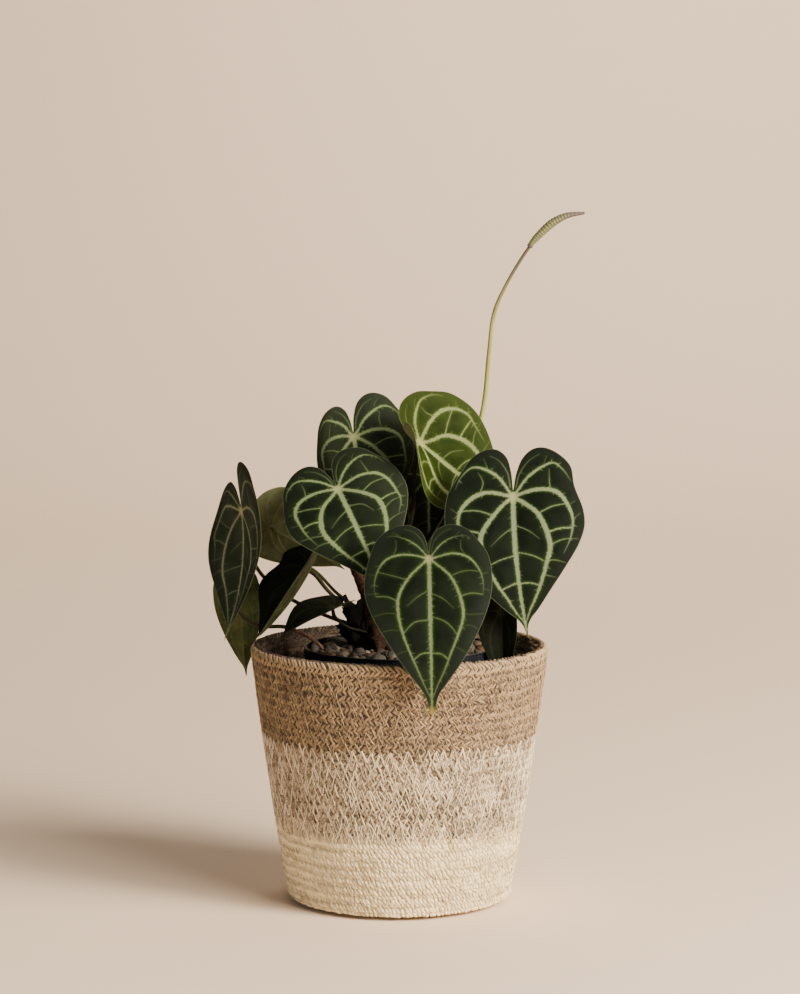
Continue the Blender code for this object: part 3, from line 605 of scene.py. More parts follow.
class Blade:
    """The curved upper face of one leaf, in millimetres, as in the CAD model."""

    def __init__(self, leaf):
        leaf = {**PLAIN_LEAF, **leaf}
        for key in ("width", "lobe", "sway", "wave", "ripple", "notch", "bloom", "front"):
            setattr(self, key, leaf[key])
        for key in ("fold", "cup", "curl"):
            setattr(self, key, [math.radians(a) for a in leaf[key]])
        self.seat = Vector(leaf["seat"])
        chord = Vector(leaf["tip"]) - self.seat
        self.down = chord.normalized()
        face = Vector(leaf["face"])
        self.up = (face - face.dot(self.down) * self.down).normalized()
        self.right = self.up.cross(self.down)
        self.arch = math.radians(leaf["arch"])
        self.length = chord.length * (self.arch / 2) / math.sin(self.arch / 2)
        self.lobe_bend = math.radians(leaf["lobe_bend"])
        self.short_veins = ("outer", "lobe") if self.front else ()

    def midrib(self, along):
        """Point of the midrib, and the upper side's direction there."""
        if along >= 0:
            rate = -self.arch / self.length
            ahead, rise = arc(self.arch / 2, rate, along)
            lean = self.arch / 2 + rate * along
        else:
            rate = self.lobe_bend / max(self.lobe)
            ahead, rise = arc(self.arch / 2, rate, -along)
            ahead, rise = -ahead, -rise
            lean = self.arch / 2 - rate * along
        share = along / self.length
        point = (self.seat + ahead * self.down + rise * self.up
                 + self.sway * (share * share - share) * self.right)
        up = math.cos(lean) * self.up - math.sin(lean) * self.down
        return point, up

    def point(self, along, across):
        """Point of the upper face, by its ways along and across the blade."""
        point, up = self.midrib(along)
        side = 1 if across > 0 else 0
        width = self.width[side]
        reach = CUP_REACH * self.length
        near_lobe = max((reach - along) / (reach + self.lobe[side]), 0.0)
        fold = self.fold[side] + self.cup[side] * near_lobe ** CUP_POWER
        out, rise = arc(fold, self.curl[side] / width, abs(across))
        share = abs(across) / width
        turn = math.atan2(across, along + 0.35 * self.length)
        rise += self.wave * share ** 2 * math.sin(5 * turn + 40 * self.seat.x / self.length)
        return point + (out if side else -out) * self.right + rise * up


def on_blade(blade, side, points):
    """Shares along and across one half, as flat millimetres."""
    sign = 1 if side else -1
    return [Vector((along * (blade.lobe[side] if along < 0 else blade.length),
                    sign * across * blade.width[side])) for along, across in points]


def half_margin(blade, side):
    """Outline of one half, from the notch to the tip."""
    notch = [Vector((-blade.notch * min(blade.lobe), 0))]
    outline = HALF_OUTLINE[1:] if blade.notch > 0.5 else HALF_OUTLINE
    if blade.front:
        outline = tuple(p for p in HALF_OUTLINE if p[0] < BROAD_TAIL[0][0]) + BROAD_TAIL
    ripple = blade.ripple[side]
    outline = [(along, across * (1 + ripple * math.sin(7 * (along - 0.08))))
               for along, across in outline]
    return smooth_path(notch + on_blade(blade, side, outline), 12)


def branch(start, end, bow, rng):
    """A slightly crooked vein between two points."""
    way = end - start
    aside = Vector((-way.y, way.x))
    middle = start.lerp(end, 0.5) + bow * aside + 0.06 * rng.uniform(-1, 1) * aside
    return smooth_path([start, middle, end], 4)


def width_at(widths, share):
    """Half width of a vein at a share of its length, from three given ones."""
    if share < 0.4:
        return widths[0] + (widths[1] - widths[0]) * share / 0.4
    return widths[1] + (widths[2] - widths[1]) * (share - 0.4) / 0.6


def vein(path, widths, tone, end_tone, pitch=1.3):
    """Rows of flat point, half width and paleness along one vein."""
    path = spaced(path, pitch)
    rows = []
    for k, point in enumerate(path):
        share = k / (len(path) - 1)
        fade = max(0.0, (share - 0.5) / 0.5)
        rows.append((point, width_at(widths, share), tone + (end_tone - tone) * fade))
    return rows


def leaf_veins(blade, rng, boldness, fine):
    """Every vein of a blade. Boldness scales the veins, and fine adds spurs to them."""
    rib_start = Vector((-0.02 * blade.length, 0))
    rib_end = Vector((0.97 * blade.length, 0))
    veins = [vein([rib_start, rib_end], [w * boldness["midrib"] for w in MIDRIB_WIDTH], 1.0, 0.9)]
    for side in (0, 1):
        sign = 1 if side else -1
        lines = {"margin": half_margin(blade, side), "midrib": [Vector((0, 0)), rib_end]}
        for name, (points, widths, end_tone) in VEINS.items():
            shaken = [(along + 0.012 * rng.uniform(-1, 1),
                       across * (1 + 0.04 * rng.uniform(-1, 1)))
                      if 0 < k < len(points) - 1 else (along, across)
                      for k, (along, across) in enumerate(points)]
            path = spaced(smooth_path(on_blade(blade, side, shaken), 8), 1.3)
            lines[name] = path
            tone = 0.4 if name == "basal" else 1.0
            bold = boldness[name]
            drawn = path[:int(len(path) * OUTER_REACH)] if name in blade.short_veins else path
            veins.append(vein(drawn, [w * bold for w in widths], tone * min(1.0, 0.5 + bold / 2),
                              end_tone * tone * bold))
        for first, share, second, other, reach, width, tone in RUNGS:
            share += 0.02 * rng.uniform(-1, 1)
            start, _ = at_share(lines[first], share)
            goal, _ = at_share(lines[second], other + 0.02 * rng.uniform(-1, 1))
            path = branch(start, start.lerp(goal, reach), sign * rng.uniform(0.02, 0.14), rng)
            bold = boldness[first] * (boldness["margin"] if second == "margin" else 1)
            width *= bold
            whole = reach == 1
            veins.append(vein(path, (width, 0.8 * width, (0.8 if whole else 0.3) * width),
                              tone * bold, (0.9 if whole else 0.3) * tone * bold))
        for name in ("midrib", "inner", "outer", "lobe") if fine else ():
            shown = OUTER_REACH if name in blade.short_veins else SPUR_REACH
            widths = VEINS[name][1] if name in VEINS else MIDRIB_WIDTH
            turns = (sign,) if name == "midrib" else (-1, 1)
            veins += spurs(lines[name], shown, widths, boldness[name], turns, rng)
    return veins


def spurs(path, shown, widths, bold, turns, rng):
    """Short fine veins that leave a main vein slanting ahead."""
    way = marks(path)
    veins = []
    at = rng.uniform(6, 9)
    while at < shown * way[-1]:
        root, ahead = at_way(path, way, at)
        for turn in turns:
            if rng.random() < 0.6:
                continue
            aside = 0.5 * ahead + Vector((-ahead.y, ahead.x)) * turn
            aside *= width_at(widths, at / way[-1]) * bold + rng.uniform(0.8, 2.6)
            veins.append(vein([root, root + aside], (0.35, 0.2, 0.05), 0.5 * min(1.0, bold),
                              0.12, 1.0))
        at += rng.uniform(3.5, 7)
    return veins


def inside(points, loop):
    """Which points lie inside a closed loop, by counting crossings."""
    x = points[:, 0][:, None]
    y = points[:, 1][:, None]
    x1, y1 = loop[:, 0][None], loop[:, 1][None]
    x2, y2 = np.roll(x1, -1), np.roll(y1, -1)
    crosses = (y1 > y) != (y2 > y)
    at = x1 + (y - y1) / np.where(y2 == y1, 1e-9, y2 - y1) * (x2 - x1)
    return (np.sum(crosses & (x < at), axis=1) % 2) == 1


def gap_to(points, a, b, widths=np.zeros((1, 2)), tones=np.zeros((1, 2))):
    """Least distance of each point to the segments a to b, less their half width.

    Widths and tones hold a value for both ends of each segment. The nearest
    segment's tone comes back as well.
    """
    gaps, found = [], []
    way = b - a
    square = np.maximum((way ** 2).sum(axis=1), 1e-12)
    for chunk in np.array_split(points, len(points) // 2000 + 1):
        t = unit(((chunk[:, None] - a) * way).sum(axis=2) / square)
        foot = a + t[..., None] * way
        dist = np.sqrt(((chunk[:, None] - foot) ** 2).sum(axis=2))
        dist = dist - widths[:, 0] - (widths[:, 1] - widths[:, 0]) * t
        tone = tones[:, 0] + (tones[:, 1] - tones[:, 0]) * t
        best = np.arange(len(chunk)), dist.argmin(axis=1)
        gaps.append(dist[best])
        found.append(tone[best])
    return np.concatenate(gaps), np.concatenate(found)


class Sieve:
    """Keeps flat points that lie far enough from those kept before, in cells of 1 mm."""

    def __init__(self):
        self.cells = {}
        self.kept = []

    def keep(self, point, reach=0.0):
        """Number of the kept point within reach of this one, or of this one, now kept."""
        i, j = math.floor(point[0]), math.floor(point[1])
        span = int(reach) + 1
        for u in range(i - span, i + span + 1):
            for v in range(j - span, j + span + 1):
                for k in self.cells.get((u, v), ()):
                    other = self.kept[k]
                    if (other[0] - point[0]) ** 2 + (other[1] - point[1]) ** 2 < reach * reach:
                        return k
        self.cells.setdefault((i, j), []).append(len(self.kept))
        self.kept.append((point[0], point[1]))
        return len(self.kept) - 1

    def keep_inside(self, points, rim, reach):
        for p in points[inside(points, rim)]:
            self.keep(p, reach)


def beside(veins):
    """Points on both sides of each vein, that give its edges their shape."""
    points = []
    for rows in veins:
        for k, (point, width, _) in enumerate(rows):
            ahead = (rows[min(k + 1, len(rows) - 1)][0] - rows[max(k - 1, 0)][0]).normalized()
            aside = Vector((-ahead.y, ahead.x))
            points += [tuple(point + turn * (width + step) * aside) for turn in (-1, 1)
                       for step in ((0.35, -0.45, 1.4) if width > 0.9 else (0.35,))]
    return np.array(points)


def filling(low, high, pitch):
    """Points of a triangular grid between two corners."""
    points = []
    row, v = 0, low[1]
    while v < high[1]:
        u = low[0] + (row % 2) * pitch / 2
        while u < high[0]:
            points.append((u, v))
            u += pitch
        v += pitch * 0.866
        row += 1
    return np.array(points)


def leaf_plan(blade, veins, fill):
    """Flat triangles that follow the margin and the veins, with points a fill apart."""
    loop = spaced(half_margin(blade, 0), 1.4)[:-1] + spaced(half_margin(blade, 1), 1.4)[:0:-1]
    rim = np.array([tuple(p) for p in loop])
    sieve = Sieve()
    for p in loop:
        sieve.keep(p)
    edges = [(k, (k + 1) % len(loop)) for k in range(len(loop))]
    for rows in veins:
        last = None
        held = inside(np.array([tuple(row[0]) for row in rows]), rim)
        for (point, _, _), ok in zip(rows, held):
            k = sieve.keep(point, 0.4) if ok else None
            if k != last and None not in (k, last):
                edges.append((last, k))
            last = k
    sieve.keep_inside(beside(veins), rim, 0.72)
    sieve.keep_inside(filling(rim.min(axis=0), rim.max(axis=0), fill), rim, 0.62 * fill)
    pairs = [(p, q) for rows in veins for p, q in zip(rows, rows[1:])]
    segments = [np.array([tuple(pair[end][0]) for pair in pairs]) for end in (0, 1)]
    segments += [np.array([(p[part], q[part]) for p, q in pairs]) for part in (1, 2)]
    for last_round in (False, False, True):
        flat, _, faces, _, _, _ = delaunay_2d_cdt([Vector(p) for p in sieve.kept], edges, [], 1,
                                                  1e-6)
        points = np.array([tuple(p) for p in flat])
        gap, tone = gap_to(points, *segments)
        if last_round:
            break
        # More points where the veins' shape falls between those there are
        corners = np.array([face[:3] for face in faces])
        middles = points[corners].mean(axis=1)
        truth, _ = gap_to(middles, *segments)
        off = truth - gap[corners].mean(axis=1)
        for p in middles[(off > 0.22) & (truth < 2.4)]:
            sieve.keep(p, 0.3)
    hub = np.hypot(points[:, 0], points[:, 1]) - HUB_RADIUS
    tone = np.where(hub < gap, 1.0, tone)
    gap = np.minimum(gap, hub)
    edge, _ = gap_to(points, rim, np.roll(rim, -1, axis=0))
    return points, faces, gap, tone, edge


def vertex_normals(points, tris):
    """Direction of the surface at each point, from its triangles."""
    a, b, c = (points[corner] for corner in np.array(tris).T)
    face = np.cross(b - a, c - a)
    out = np.zeros_like(points)
    for corner in np.array(tris).T:
        np.add.at(out, corner, face)
    return out / np.maximum(np.linalg.norm(out, axis=1), 1e-12)[:, None]


def boundary_edges(tris):
    """Edges that only one triangle has."""
    edges = dict.fromkeys((tri[k], tri[(k + 1) % 3]) for tri in tris for k in range(3))
    return [(a, b) for a, b in edges if (b, a) not in edges]


def make_leaf(number, leaf, mat):
    """Blade with relief over the veins, an underside and a thin rim."""
    rng = random.Random(int(number) * 7 + 3)
    blade = Blade(leaf)
    fine = number in FINE_LEAVES
    scale = min(1.0, 0.35 + 0.65 * blade.length / 100)
    bold = {name: scale * share
            for name, share in zip(VEIN_NAMES, BOLDNESS.get(number, MOST_BOLDNESS))}
    veins = leaf_veins(blade, rng, bold, fine)
    flat, faces, gap, tone, edge = leaf_plan(blade, veins, 3.0 if fine else 4.0)
    tris = [(face[0], face[k], face[k + 1]) for face in faces for k in range(1, len(face) - 1)]
    a, b, c = flat[list(tris[0])]
    if np.cross(b - a, c - a) < 0:
        tris = [tri[::-1] for tri in tris]
    base = np.array([tuple(blade.point(u, v)) for u, v in flat.tolist()])
    normal = vertex_normals(base, tris)
    # The lamina swells between the veins, and sinks to nothing at the margin
    swell = 0.55 * unit(gap / 4.0) ** 0.8 * unit(edge / 3.0)
    crest = 0.22 * unit(-gap / 0.8)
    body = 0.25 + 0.35 * unit(edge / 2.5)
    ridge = 0.5 * unit(0.6 - gap) * unit(edge / 2.0)
    top = base + normal * (swell + crest - 0.3)[:, None]
    under = base - normal * (body + ridge - swell + 0.25)[:, None]
    count = len(base)
    along, across = flat.T
    halves = np.where(across > 0, across / blade.width[1], -across / blade.width[0])
    # The painted sheen grows from the midrib outwards over the chosen halves
    bloom = np.where(across > 0, blade.bloom[1], blade.bloom[0]) * unit(halves * 1.6)
    all_faces = tris + [(c + count, b + count, a + count) for a, b, c in tris]
    all_faces += [(b, a, a + count, b + count) for a, b in boundary_edges(tris)]
    values = dict(vein_gap=gap, vein_tone=tone, edge_gap=edge, bloom=bloom,
                  along=along / blade.length, hub_gap=np.hypot(along, across))
    obj = piece("leaf_%s_blade_veined" % number, np.vstack((top, under)), all_faces, mat,
                "leaf_young" if number == "05" else "leaf_dark", sharp=65,
                underside=np.repeat((0, 1), count),
                **{name: np.tile(value, 2) for name, value in values.items()})
    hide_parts("leaf_%s_blade" % number)


def sweep(path, radii, sides, shape=lambda share, angle: 1.0):
    """Points and faces of a round tube. Shape gives a factor by share and angle."""
    centres = [Vector(p[:3]) for p in path]
    last = len(centres) - 1
    verts = []
    across = None
    for k, centre in enumerate(centres):
        ahead = (centres[min(k + 1, last)] - centres[max(k - 1, 0)]).normalized()
        if across is None:
            across = ahead.orthogonal().normalized()
        across = (across - across.dot(ahead) * ahead).normalized()
        other = ahead.cross(across)
        for side in range(sides):
            angle = math.tau * side / sides
            radius = radii[k] * float(shape(k / last, angle))
            verts.append(tuple(centre + radius * (math.cos(angle) * across
                                                  + math.sin(angle) * other)))
    caps = [tuple(reversed(range(sides))), tuple(range(len(verts) - sides, len(verts)))]
    return verts, grid_faces(last + 1, sides) + caps


def make_petiole(number, leaf, mat):
    """Leaf stalk that thickens at its foot and at the knee under the blade."""
    seat, up = Blade(leaf).midrib(0)
    radius = leaf["thick"]
    rows = [(*p, radius * (1.25 if k == 0 else 1)) for k, p in enumerate(leaf["petiole"])]
    rows.append((*(seat - up * KNEE_LENGTH), radius * 1.1))
    rows.append((*(seat - up * (BLADE_THICKNESS + 0.2)), radius * 0.85))
    path = smooth_path(rows, 8)
    radii = [row[3] * (1 + 0.12 * math.exp(-((len(path) - 1 - k) / 7.0) ** 2))
             for k, row in enumerate(path)]
    verts, faces = sweep(path, radii, 12,
                         lambda share, angle: 1 - 0.07 * max(0.0, math.cos(angle)) ** 6)
    left = -np.array(verts)[:, 0] if number == "07" else np.zeros(len(verts))
    obj = piece("leaf_%s_petiole_round" % number, verts, faces, mat, "petiole_green",
                sharp=60, browning=unit((left - 72) / 12))
    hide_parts("leaf_%s_petiole" % number)


def make_stem(bark, scale_mat):
    """Ringed stem, with dry scale leaves round its foot and where petioles part."""
    path = smooth_path(TRUNK_PATH, 14)

    def knobbly(share, angle):
        lump = noise.noise(Vector(around(1.3, angle, share * 14)))
        return 1 + 0.05 * math.sin(share * 95) + 0.16 * lump

    verts, faces = sweep(path, [row[3] for row in path], 28, knobbly)
    stem = piece("stem_ringed", verts, faces, bark, "stem_bark")
    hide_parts("stem")
    rng = random.Random(5)
    parts = []
    line = [Vector(row[:3]) for row in path]
    for k in range(46):
        centre, _ = at_share(line, 0.16 + 0.34 * (k / 45) ** 1.3)
        lean = Vector((rng.uniform(-0.8, 0.05), rng.uniform(-0.5, 0.5), 1)).normalized()
        aside = Vector((rng.uniform(-17, 0), rng.uniform(-5, 3), rng.uniform(-3, 5)))
        parts.append(scale_leaf(centre + aside, lean, rng.uniform(2.5, 5.5), k * 2.4,
                                rng.uniform(10, 20), rng.uniform(0.5, 3), rng))
    for k in range(5):
        centre, ahead = at_share(line, 0.45 + 0.11 * k)
        parts.append(scale_leaf(centre, ahead, 5.3 - 0.4 * k, k * 2.4, rng.uniform(6, 9),
                                rng.uniform(0.2, 0.7), rng))
    piece("dry_scales", *joined(parts), scale_mat, "stem_bark")


def scale_leaf(centre, ahead, radius, turn, length, lift, rng):
    """A thin curved scrap that hugs the stem and lifts at its tip."""
    across = ahead.orthogonal().normalized()
    other = ahead.cross(across)
    spread = rng.uniform(0.7, 1.2)
    rows, columns = 7, 6
    verts = []
    for sheet in (0.0, 0.35):
        for i in range(rows):
            t = i / (rows - 1)
            width = spread * math.sin(math.pi * (0.18 + 0.82 * (1 - t))) + 0.05
            reach = radius + 0.4 + lift * t * t - sheet
            for j in range(columns):
                angle = turn + width * (2 * j / (columns - 1) - 1)
                verts.append(tuple(centre + ahead * (length * (t - 0.2))
                                   + reach * (math.cos(angle) * across + math.sin(angle) * other)))
    faces = grid_faces(rows, columns, (False, False))
    return verts, faces + grid_faces(rows, columns, (False, False), True, rows * columns)


def make_flower(stalk_mat, spadix_mat):
    """Flower stalk, and a spadix covered with tiny flowers on crossing spirals."""
    rows = [(*row[:3], row[3] * (1.18 if row[2] < 440 else 1.0)) for row in PEDUNCLE_PATH]
    path = smooth_path(rows + [SPADIX_PATH[1][:3] + (1.2,)], 10)
    verts, faces = sweep(path, [row[3] for row in path], 14)
    heights = np.array(verts)[:, 2]
    # The stalk gets painted shade low down, where shaded says so
    stalk = piece("flower_stalk_round", verts, faces, stalk_mat, "stalk_green",
                  browning=unit((heights - 415) / 50),
                  shaded=unit((345 - heights) / 25))
    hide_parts("flower_stalk")

    def stud(share, angle):
        return np.sin(78.2 * share + 5 * angle) * np.sin(78.2 * share - 5 * angle)

    path = smooth_path(SPADIX_PATH, 30)
    sides = 40
    verts, faces = sweep(path, [row[3] for row in path], sides, lambda share, angle: (
        1 + 0.35 * max(0.0, 1 - share / 0.12) + 0.13 * stud(share, angle)))
    share = np.repeat(np.linspace(0, 1, len(path)), sides)
    angle = np.tile(np.arange(sides) * math.tau / sides, len(path))
    spadix = piece("spadix_studded", verts, faces, spadix_mat, "spadix_olive",
                   share=share, stud=0.5 + 0.5 * stud(share, angle))
    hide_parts("spadix")


def spadix_material():
    """Olive flower spike with a brown collar and a greyish tip."""
    n = Nodes("spadix_skin")
    share = n.attribute("share")
    fine = n.noise(1.2, detail=4)
    colour = n.mix(n.ramp(fine, 0.3, 0.7), (0.072, 0.075, 0.022), (0.13, 0.13, 0.045))
    colour = n.mix(n.ramp(n.attribute("stud"), 0.3, 0.9, 0.0, 0.3), colour, (0.19, 0.19, 0.075))
    colour = n.mix(n.ramp(share, 0.6, 0.95), colour, (0.085, 0.065, 0.05))
    colour = n.mix(n.ramp(share, 0.14, 0.04), colour, (0.06, 0.04, 0.028))
    n.bump(fine, 0.25, 0.6)
    return n.finish(colour, n.ramp(fine, 0.3, 0.7, 0.7, 0.5))


def lump_of(shape, scale, turn, place):
    """Points of a stone: one of the stone shapes, stretched, turned and placed."""
    return (shape * np.array(scale)) @ np.array(turn.to_matrix()).T + np.array(place)


def stone_shapes(rng):
    """A few lumpy stones of radius one, as points and faces."""
    shapes = []
    for _ in range(4):
        bm = bmesh.new()
        bmesh.ops.create_icosphere(bm, subdivisions=2, radius=1.0)
        away = Vector((rng.uniform(0, 50), rng.uniform(0, 50), 0))
        points = np.array([tuple(v.co * (1 + 0.5 * noise.noise(v.co * 1.3 + away)))
                           for v in bm.verts])
        shapes.append((points, [tuple(v.index for v in f.verts) for f in bm.faces]))
        bm.free()
    return shapes


def make_bed(mat):
    """Uneven dark bed, up to the pot's wall."""
    rings, spokes = 30, 90
    verts = [(0, 0, BED_TOP - 0.5)]
    for i in range(1, rings + 1):
        for j in range(spokes):
            x, y, z = around(BED_RADIUS * i / rings, math.tau * j / spokes, BED_TOP - 0.5)
            z += 1.3 * noise.noise(Vector((x, y, 3.0)) / 5)
            verts.append((x, y, z + 0.8 * noise.noise(Vector((x, y, 9.0)) / 1.7)))
    faces = [(0, 1 + j, 1 + (j + 1) % spokes) for j in range(spokes)]
    bed = piece("gravel_bed", verts, faces + grid_faces(rings, spokes, flip=True, base=1),
                mat, "pebbles", tone=np.full(len(verts), 0.5))
    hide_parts("pebble_dressing")


def make_gravel(mat):
    """Stones, clay balls, bark chips and grit that lie on the bed."""
    rng = random.Random(11)
    shapes = stone_shapes(rng)
    parts, kinds, tones, placed = [], [], [], []
    for size, tries in STONE_SIZES:
        for _ in range(tries):
            radius = size * rng.uniform(0.75, 1.2)
            angle = rng.uniform(0, math.tau)
            x, y, _ = around((BED_RADIUS - radius) * math.sqrt(rng.random()), angle, 0)
            if math.hypot(x - STEM_FOOT[0], y - STEM_FOOT[1]) < STEM_FOOT[2] + radius:
                continue
            if any((x - u) ** 2 + (y - v) ** 2 < (0.80 * (radius + r)) ** 2
                   for u, v, r in placed):
                continue
            placed.append((x, y, radius))
            kind = rng.choices(STONE_KINDS, (4, 4, 3, 5, 2))[0]
            flat = 0.35 if kind == STONE_KINDS[-1] else rng.uniform(0.6, 0.9)
            scale = (radius * rng.uniform(0.9, 1.3), radius * rng.uniform(0.7, 1.0), radius * flat)
            turn = Euler((rng.uniform(-0.5, 0.5), rng.uniform(-0.5, 0.5), rng.uniform(0, 6.3)))
            shape, shape_faces = rng.choice(shapes)
            lift = 0.25 * radius + (rng.uniform(0, 1.5) if size > 2 else 0)
            parts.append((lump_of(shape, scale, turn, (x, y, BED_TOP + 0.5 + lift)), shape_faces))
            kinds += [kind] * len(shape)
            tones += [rng.uniform(0.25, 0.75)] * len(shape)
    piece("gravel_stones", *joined(parts), mat, "pebbles", kind=kinds, tone=tones)


def pebble_material():
    """Stones whose kind attribute runs from grey over tan and clay to bark."""
    n = Nodes("mixed_stones")
    kind = n.attribute("kind")
    tone = n.attribute("tone")
    grain = n.noise(0.9, detail=5, roughness=0.65)
    colour = (0.075, 0.066, 0.052)
    for edge, other in ((0.2, (0.20, 0.16, 0.11)), (0.4, (0.095, 0.045, 0.018)),
                        (0.6, (0.036, 0.026, 0.018)), (0.8, (0.055, 0.028, 0.013))):
        colour = n.mix(n.ramp(kind, edge - 0.01, edge + 0.01), colour, other)
    share = n.plus(n.times(grain, 0.8), n.times(tone, 0.6))
    colour = n.mix(n.ramp(share, 0.35, 0.95), n.mix(0.55, colour, (0.02, 0.015, 0.01)), colour)
    n.bump(grain, 0.35, 0.7)
    return n.finish(colour, n.ramp(grain, 0.3, 0.7, 0.75, 0.92))


def make_pot():
    """Plastic and soil for what the frame holds, and the ribs and bead of the pot's rim."""
    plastic = speckled_material("black_plastic", (0.0045, 0.0055, 0.008),
                                (0.009, 0.0105, 0.014), 6, 0.6, 0.03, 0.18)
    soil = speckled_material("soil", (0.012, 0.008, 0.006), (0.05, 0.032, 0.022), 3, 0.95, 1.0)
    for node, mat in (("nursery_pot", plastic), ("potting_mix", soil)):
        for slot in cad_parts[node].material_slots:
            slot.material = mat
    low, high = POT_TOP - POT_RIM_HEIGHT + 0.6, POT_TOP - 1.6
    verts, faces = [], []
    for k in range(POT_RIBS):
        faces += grid_faces(4, 4, (False, False), base=len(verts))
        for z, rise in ((low, 0.0), (low + 0.5, 0.3), (high - 0.5, 0.3), (high, 0.0)):
            for share in (-1, -0.6, 0.6, 1):
                verts.append(around(POT_RIM_RADIUS - 0.1 + (rise if abs(share) < 1 else 0),
                                    math.tau / POT_RIBS * (k + 0.27 * share), z))
    piece("pot_rim_ribs", verts, faces, plastic, "pot_plastic", smooth=False)
    path = [around(POT_RIM_RADIUS, a, POT_TOP - 0.5) for a in np.linspace(0, math.tau, 181)]
    verts, faces = sweep(path, [0.55] * 181, 8)
    piece("pot_rim_bead", verts, faces[:-2], plastic, "pot_plastic")


def basket_radius(height):
    """Outer radius of the basket's wall, over the crests of its rows."""
    if height < FOOT_ROUND_HEIGHT:
        drop = 1 - height / FOOT_ROUND_HEIGHT
        return BASKET_FOOT_RADIUS + FOOT_ROUND_RADIAL * math.sqrt(1 - drop * drop)
    low = BASKET_FOOT_RADIUS + FOOT_ROUND_RADIAL
    share = (height - FOOT_ROUND_HEIGHT) / (BASKET_HEIGHT - FOOT_ROUND_HEIGHT)
    return low + (BASKET_RIM_RADIUS - low) * share ** WALL_SWELL


def ring(radius, height, half_wide, half_high, seed, groove, segments=CORD_SEGMENTS):
    """One turn of lumpy cord, as points, faces and tones. Groove is painted shade on its outer
    side.
    """
    angles = (np.arange(segments) * math.tau / segments)[:, None]
    turns = np.arange(CORD_SIDES) * math.tau / CORD_SIDES
    lump = np.array([[noise.noise(Vector(around(radius / 3.1, a, seed * 7.3
                                                + 1.6 * math.sin(t)))) for t in turns]
                     for a in angles[:, 0]])
    swell = 1 + 0.16 * lump
    verts = spun(radius + half_wide * np.cos(turns) * swell, angles,
                 height + half_high * np.sin(turns) * swell)
    # Painted shade on the inner sides: darkest at the back and front, less on the left, and
    # painted light on the right
    right = np.cos(angles)
    shade = INNER_SHADE * (1 - np.where(right < 0, -0.6, 1.6) * right)
    tone = (0.35 + 0.35 * lump + shade * unit(-np.cos(turns))
            - groove * unit(np.cos(turns)))
    faces = grid_faces(segments, CORD_SIDES, (True, True), flip=True)
    return verts.reshape(-1, 3), faces, tone.ravel()


def batch_tubes(paths, radii, facing, sides):
    """Tubes along many short paths at once. Facing points away from the surface."""
    paths, radii, facing = np.array(paths), np.array(radii), np.array(facing)
    ahead = np.gradient(paths, axis=1)
    ahead /= np.linalg.norm(ahead, axis=2, keepdims=True)
    across = np.cross(ahead, facing[:, None])
    across /= np.linalg.norm(across, axis=2, keepdims=True)
    other = np.cross(ahead, across)
    turns = (np.arange(sides) * math.tau / sides)[:, None]
    verts = (paths[:, :, None] + radii[:, :, None, None]
             * (np.cos(turns) * across[:, :, None] + np.sin(turns) * other[:, :, None]))
    index = np.arange(verts.size // 3).reshape(verts.shape[:3])
    nxt = np.roll(index, -1, axis=2)
    faces = np.stack((index[:, :-1], nxt[:, :-1], nxt[:, 1:], index[:, 1:]), axis=-1)
    return verts.reshape(-1, 3), faces.reshape(-1, 4)


def strands(rows, rng, lean, pitch, ply):
    """Short plies that lie slanting across each row: their lean, pitch and half thickness."""
    steps = np.linspace(0, 1, 5)
    paths, radii, facing, tones = [], [], [], []
    for middle, high, halves in rows:
        centre = basket_radius(middle) - BASKET_WALL / 2
        count = round(math.tau * (centre + BASKET_WALL / 2) / pitch)
        step = math.tau / count

        def draws(least, most):
            return np.array([rng.uniform(least, most) for _ in range(count)])

        for low, top, turn in halves:
            start = (np.arange(count) + rng.random()) * step + step * draws(-0.22, 0.22)
            slant = turn * lean * step * draws(0.7, 1.25)
            rise = np.radians(draws(-9, 9))
            tilt = np.radians(low + (top - low) * steps) + rise[:, None]
            angle = start[:, None] + slant[:, None] * (steps - 0.5)
            paths.append(spun(centre + (BASKET_WALL / 2 - PLY_SINK) * np.cos(tilt), angle,
                              middle + (high - PLY_SINK) * np.sin(tilt)))
            radii.append(ply * draws(0.8, 1.15)[:, None] * np.array((0.35, 0.85, 1.0, 0.85, 0.35)))
            face = math.radians((low + top) / 2)
            facing.append(spun(math.cos(face), start, math.sin(face)))
            tone = draws(0.4, 0.75)
            # The rim's plies get painted light on the outer side and painted shade on the inner
            # side
            if middle > BASKET_HEIGHT - ROW_PITCH:
                shade = RIM_INNER_SHADE * (1 - unit(np.cos(start)))
                tone += shade if low > 70 else RIM_PAINTED_LIGHT
            # Each ply is painted darker at its ends, where it sinks between the rows, and a little
            # lighter at its crest: painted shade and painted light
            tones.append(tone[:, None] + np.array((-0.3, 0.0, 0.1, 0.0, -0.3)))
    verts, faces = batch_tubes(*map(np.concatenate, (paths, radii, facing)), PLY_SIDES)
    return verts, faces, np.repeat(np.concatenate(tones).ravel(), PLY_SIDES)


def waving(verts, faces):
    """The same points and faces, with the rows waving gently up and down."""
    verts = np.array(verts, dtype=float)
    angle = np.arctan2(verts[:, 1], verts[:, 0])
    z = verts[:, 2]
    wave = (0.55 * np.sin(5 * angle + z / 17) + 0.35 * np.sin(11 * angle - z / 11 + 1)
            + 0.25 * np.sin(23 * angle + z / 7 + 2))
    verts[:, 2] = z + wave * unit(z / 25) * unit((BASKET_HEIGHT - z) / 15)
    return verts, faces


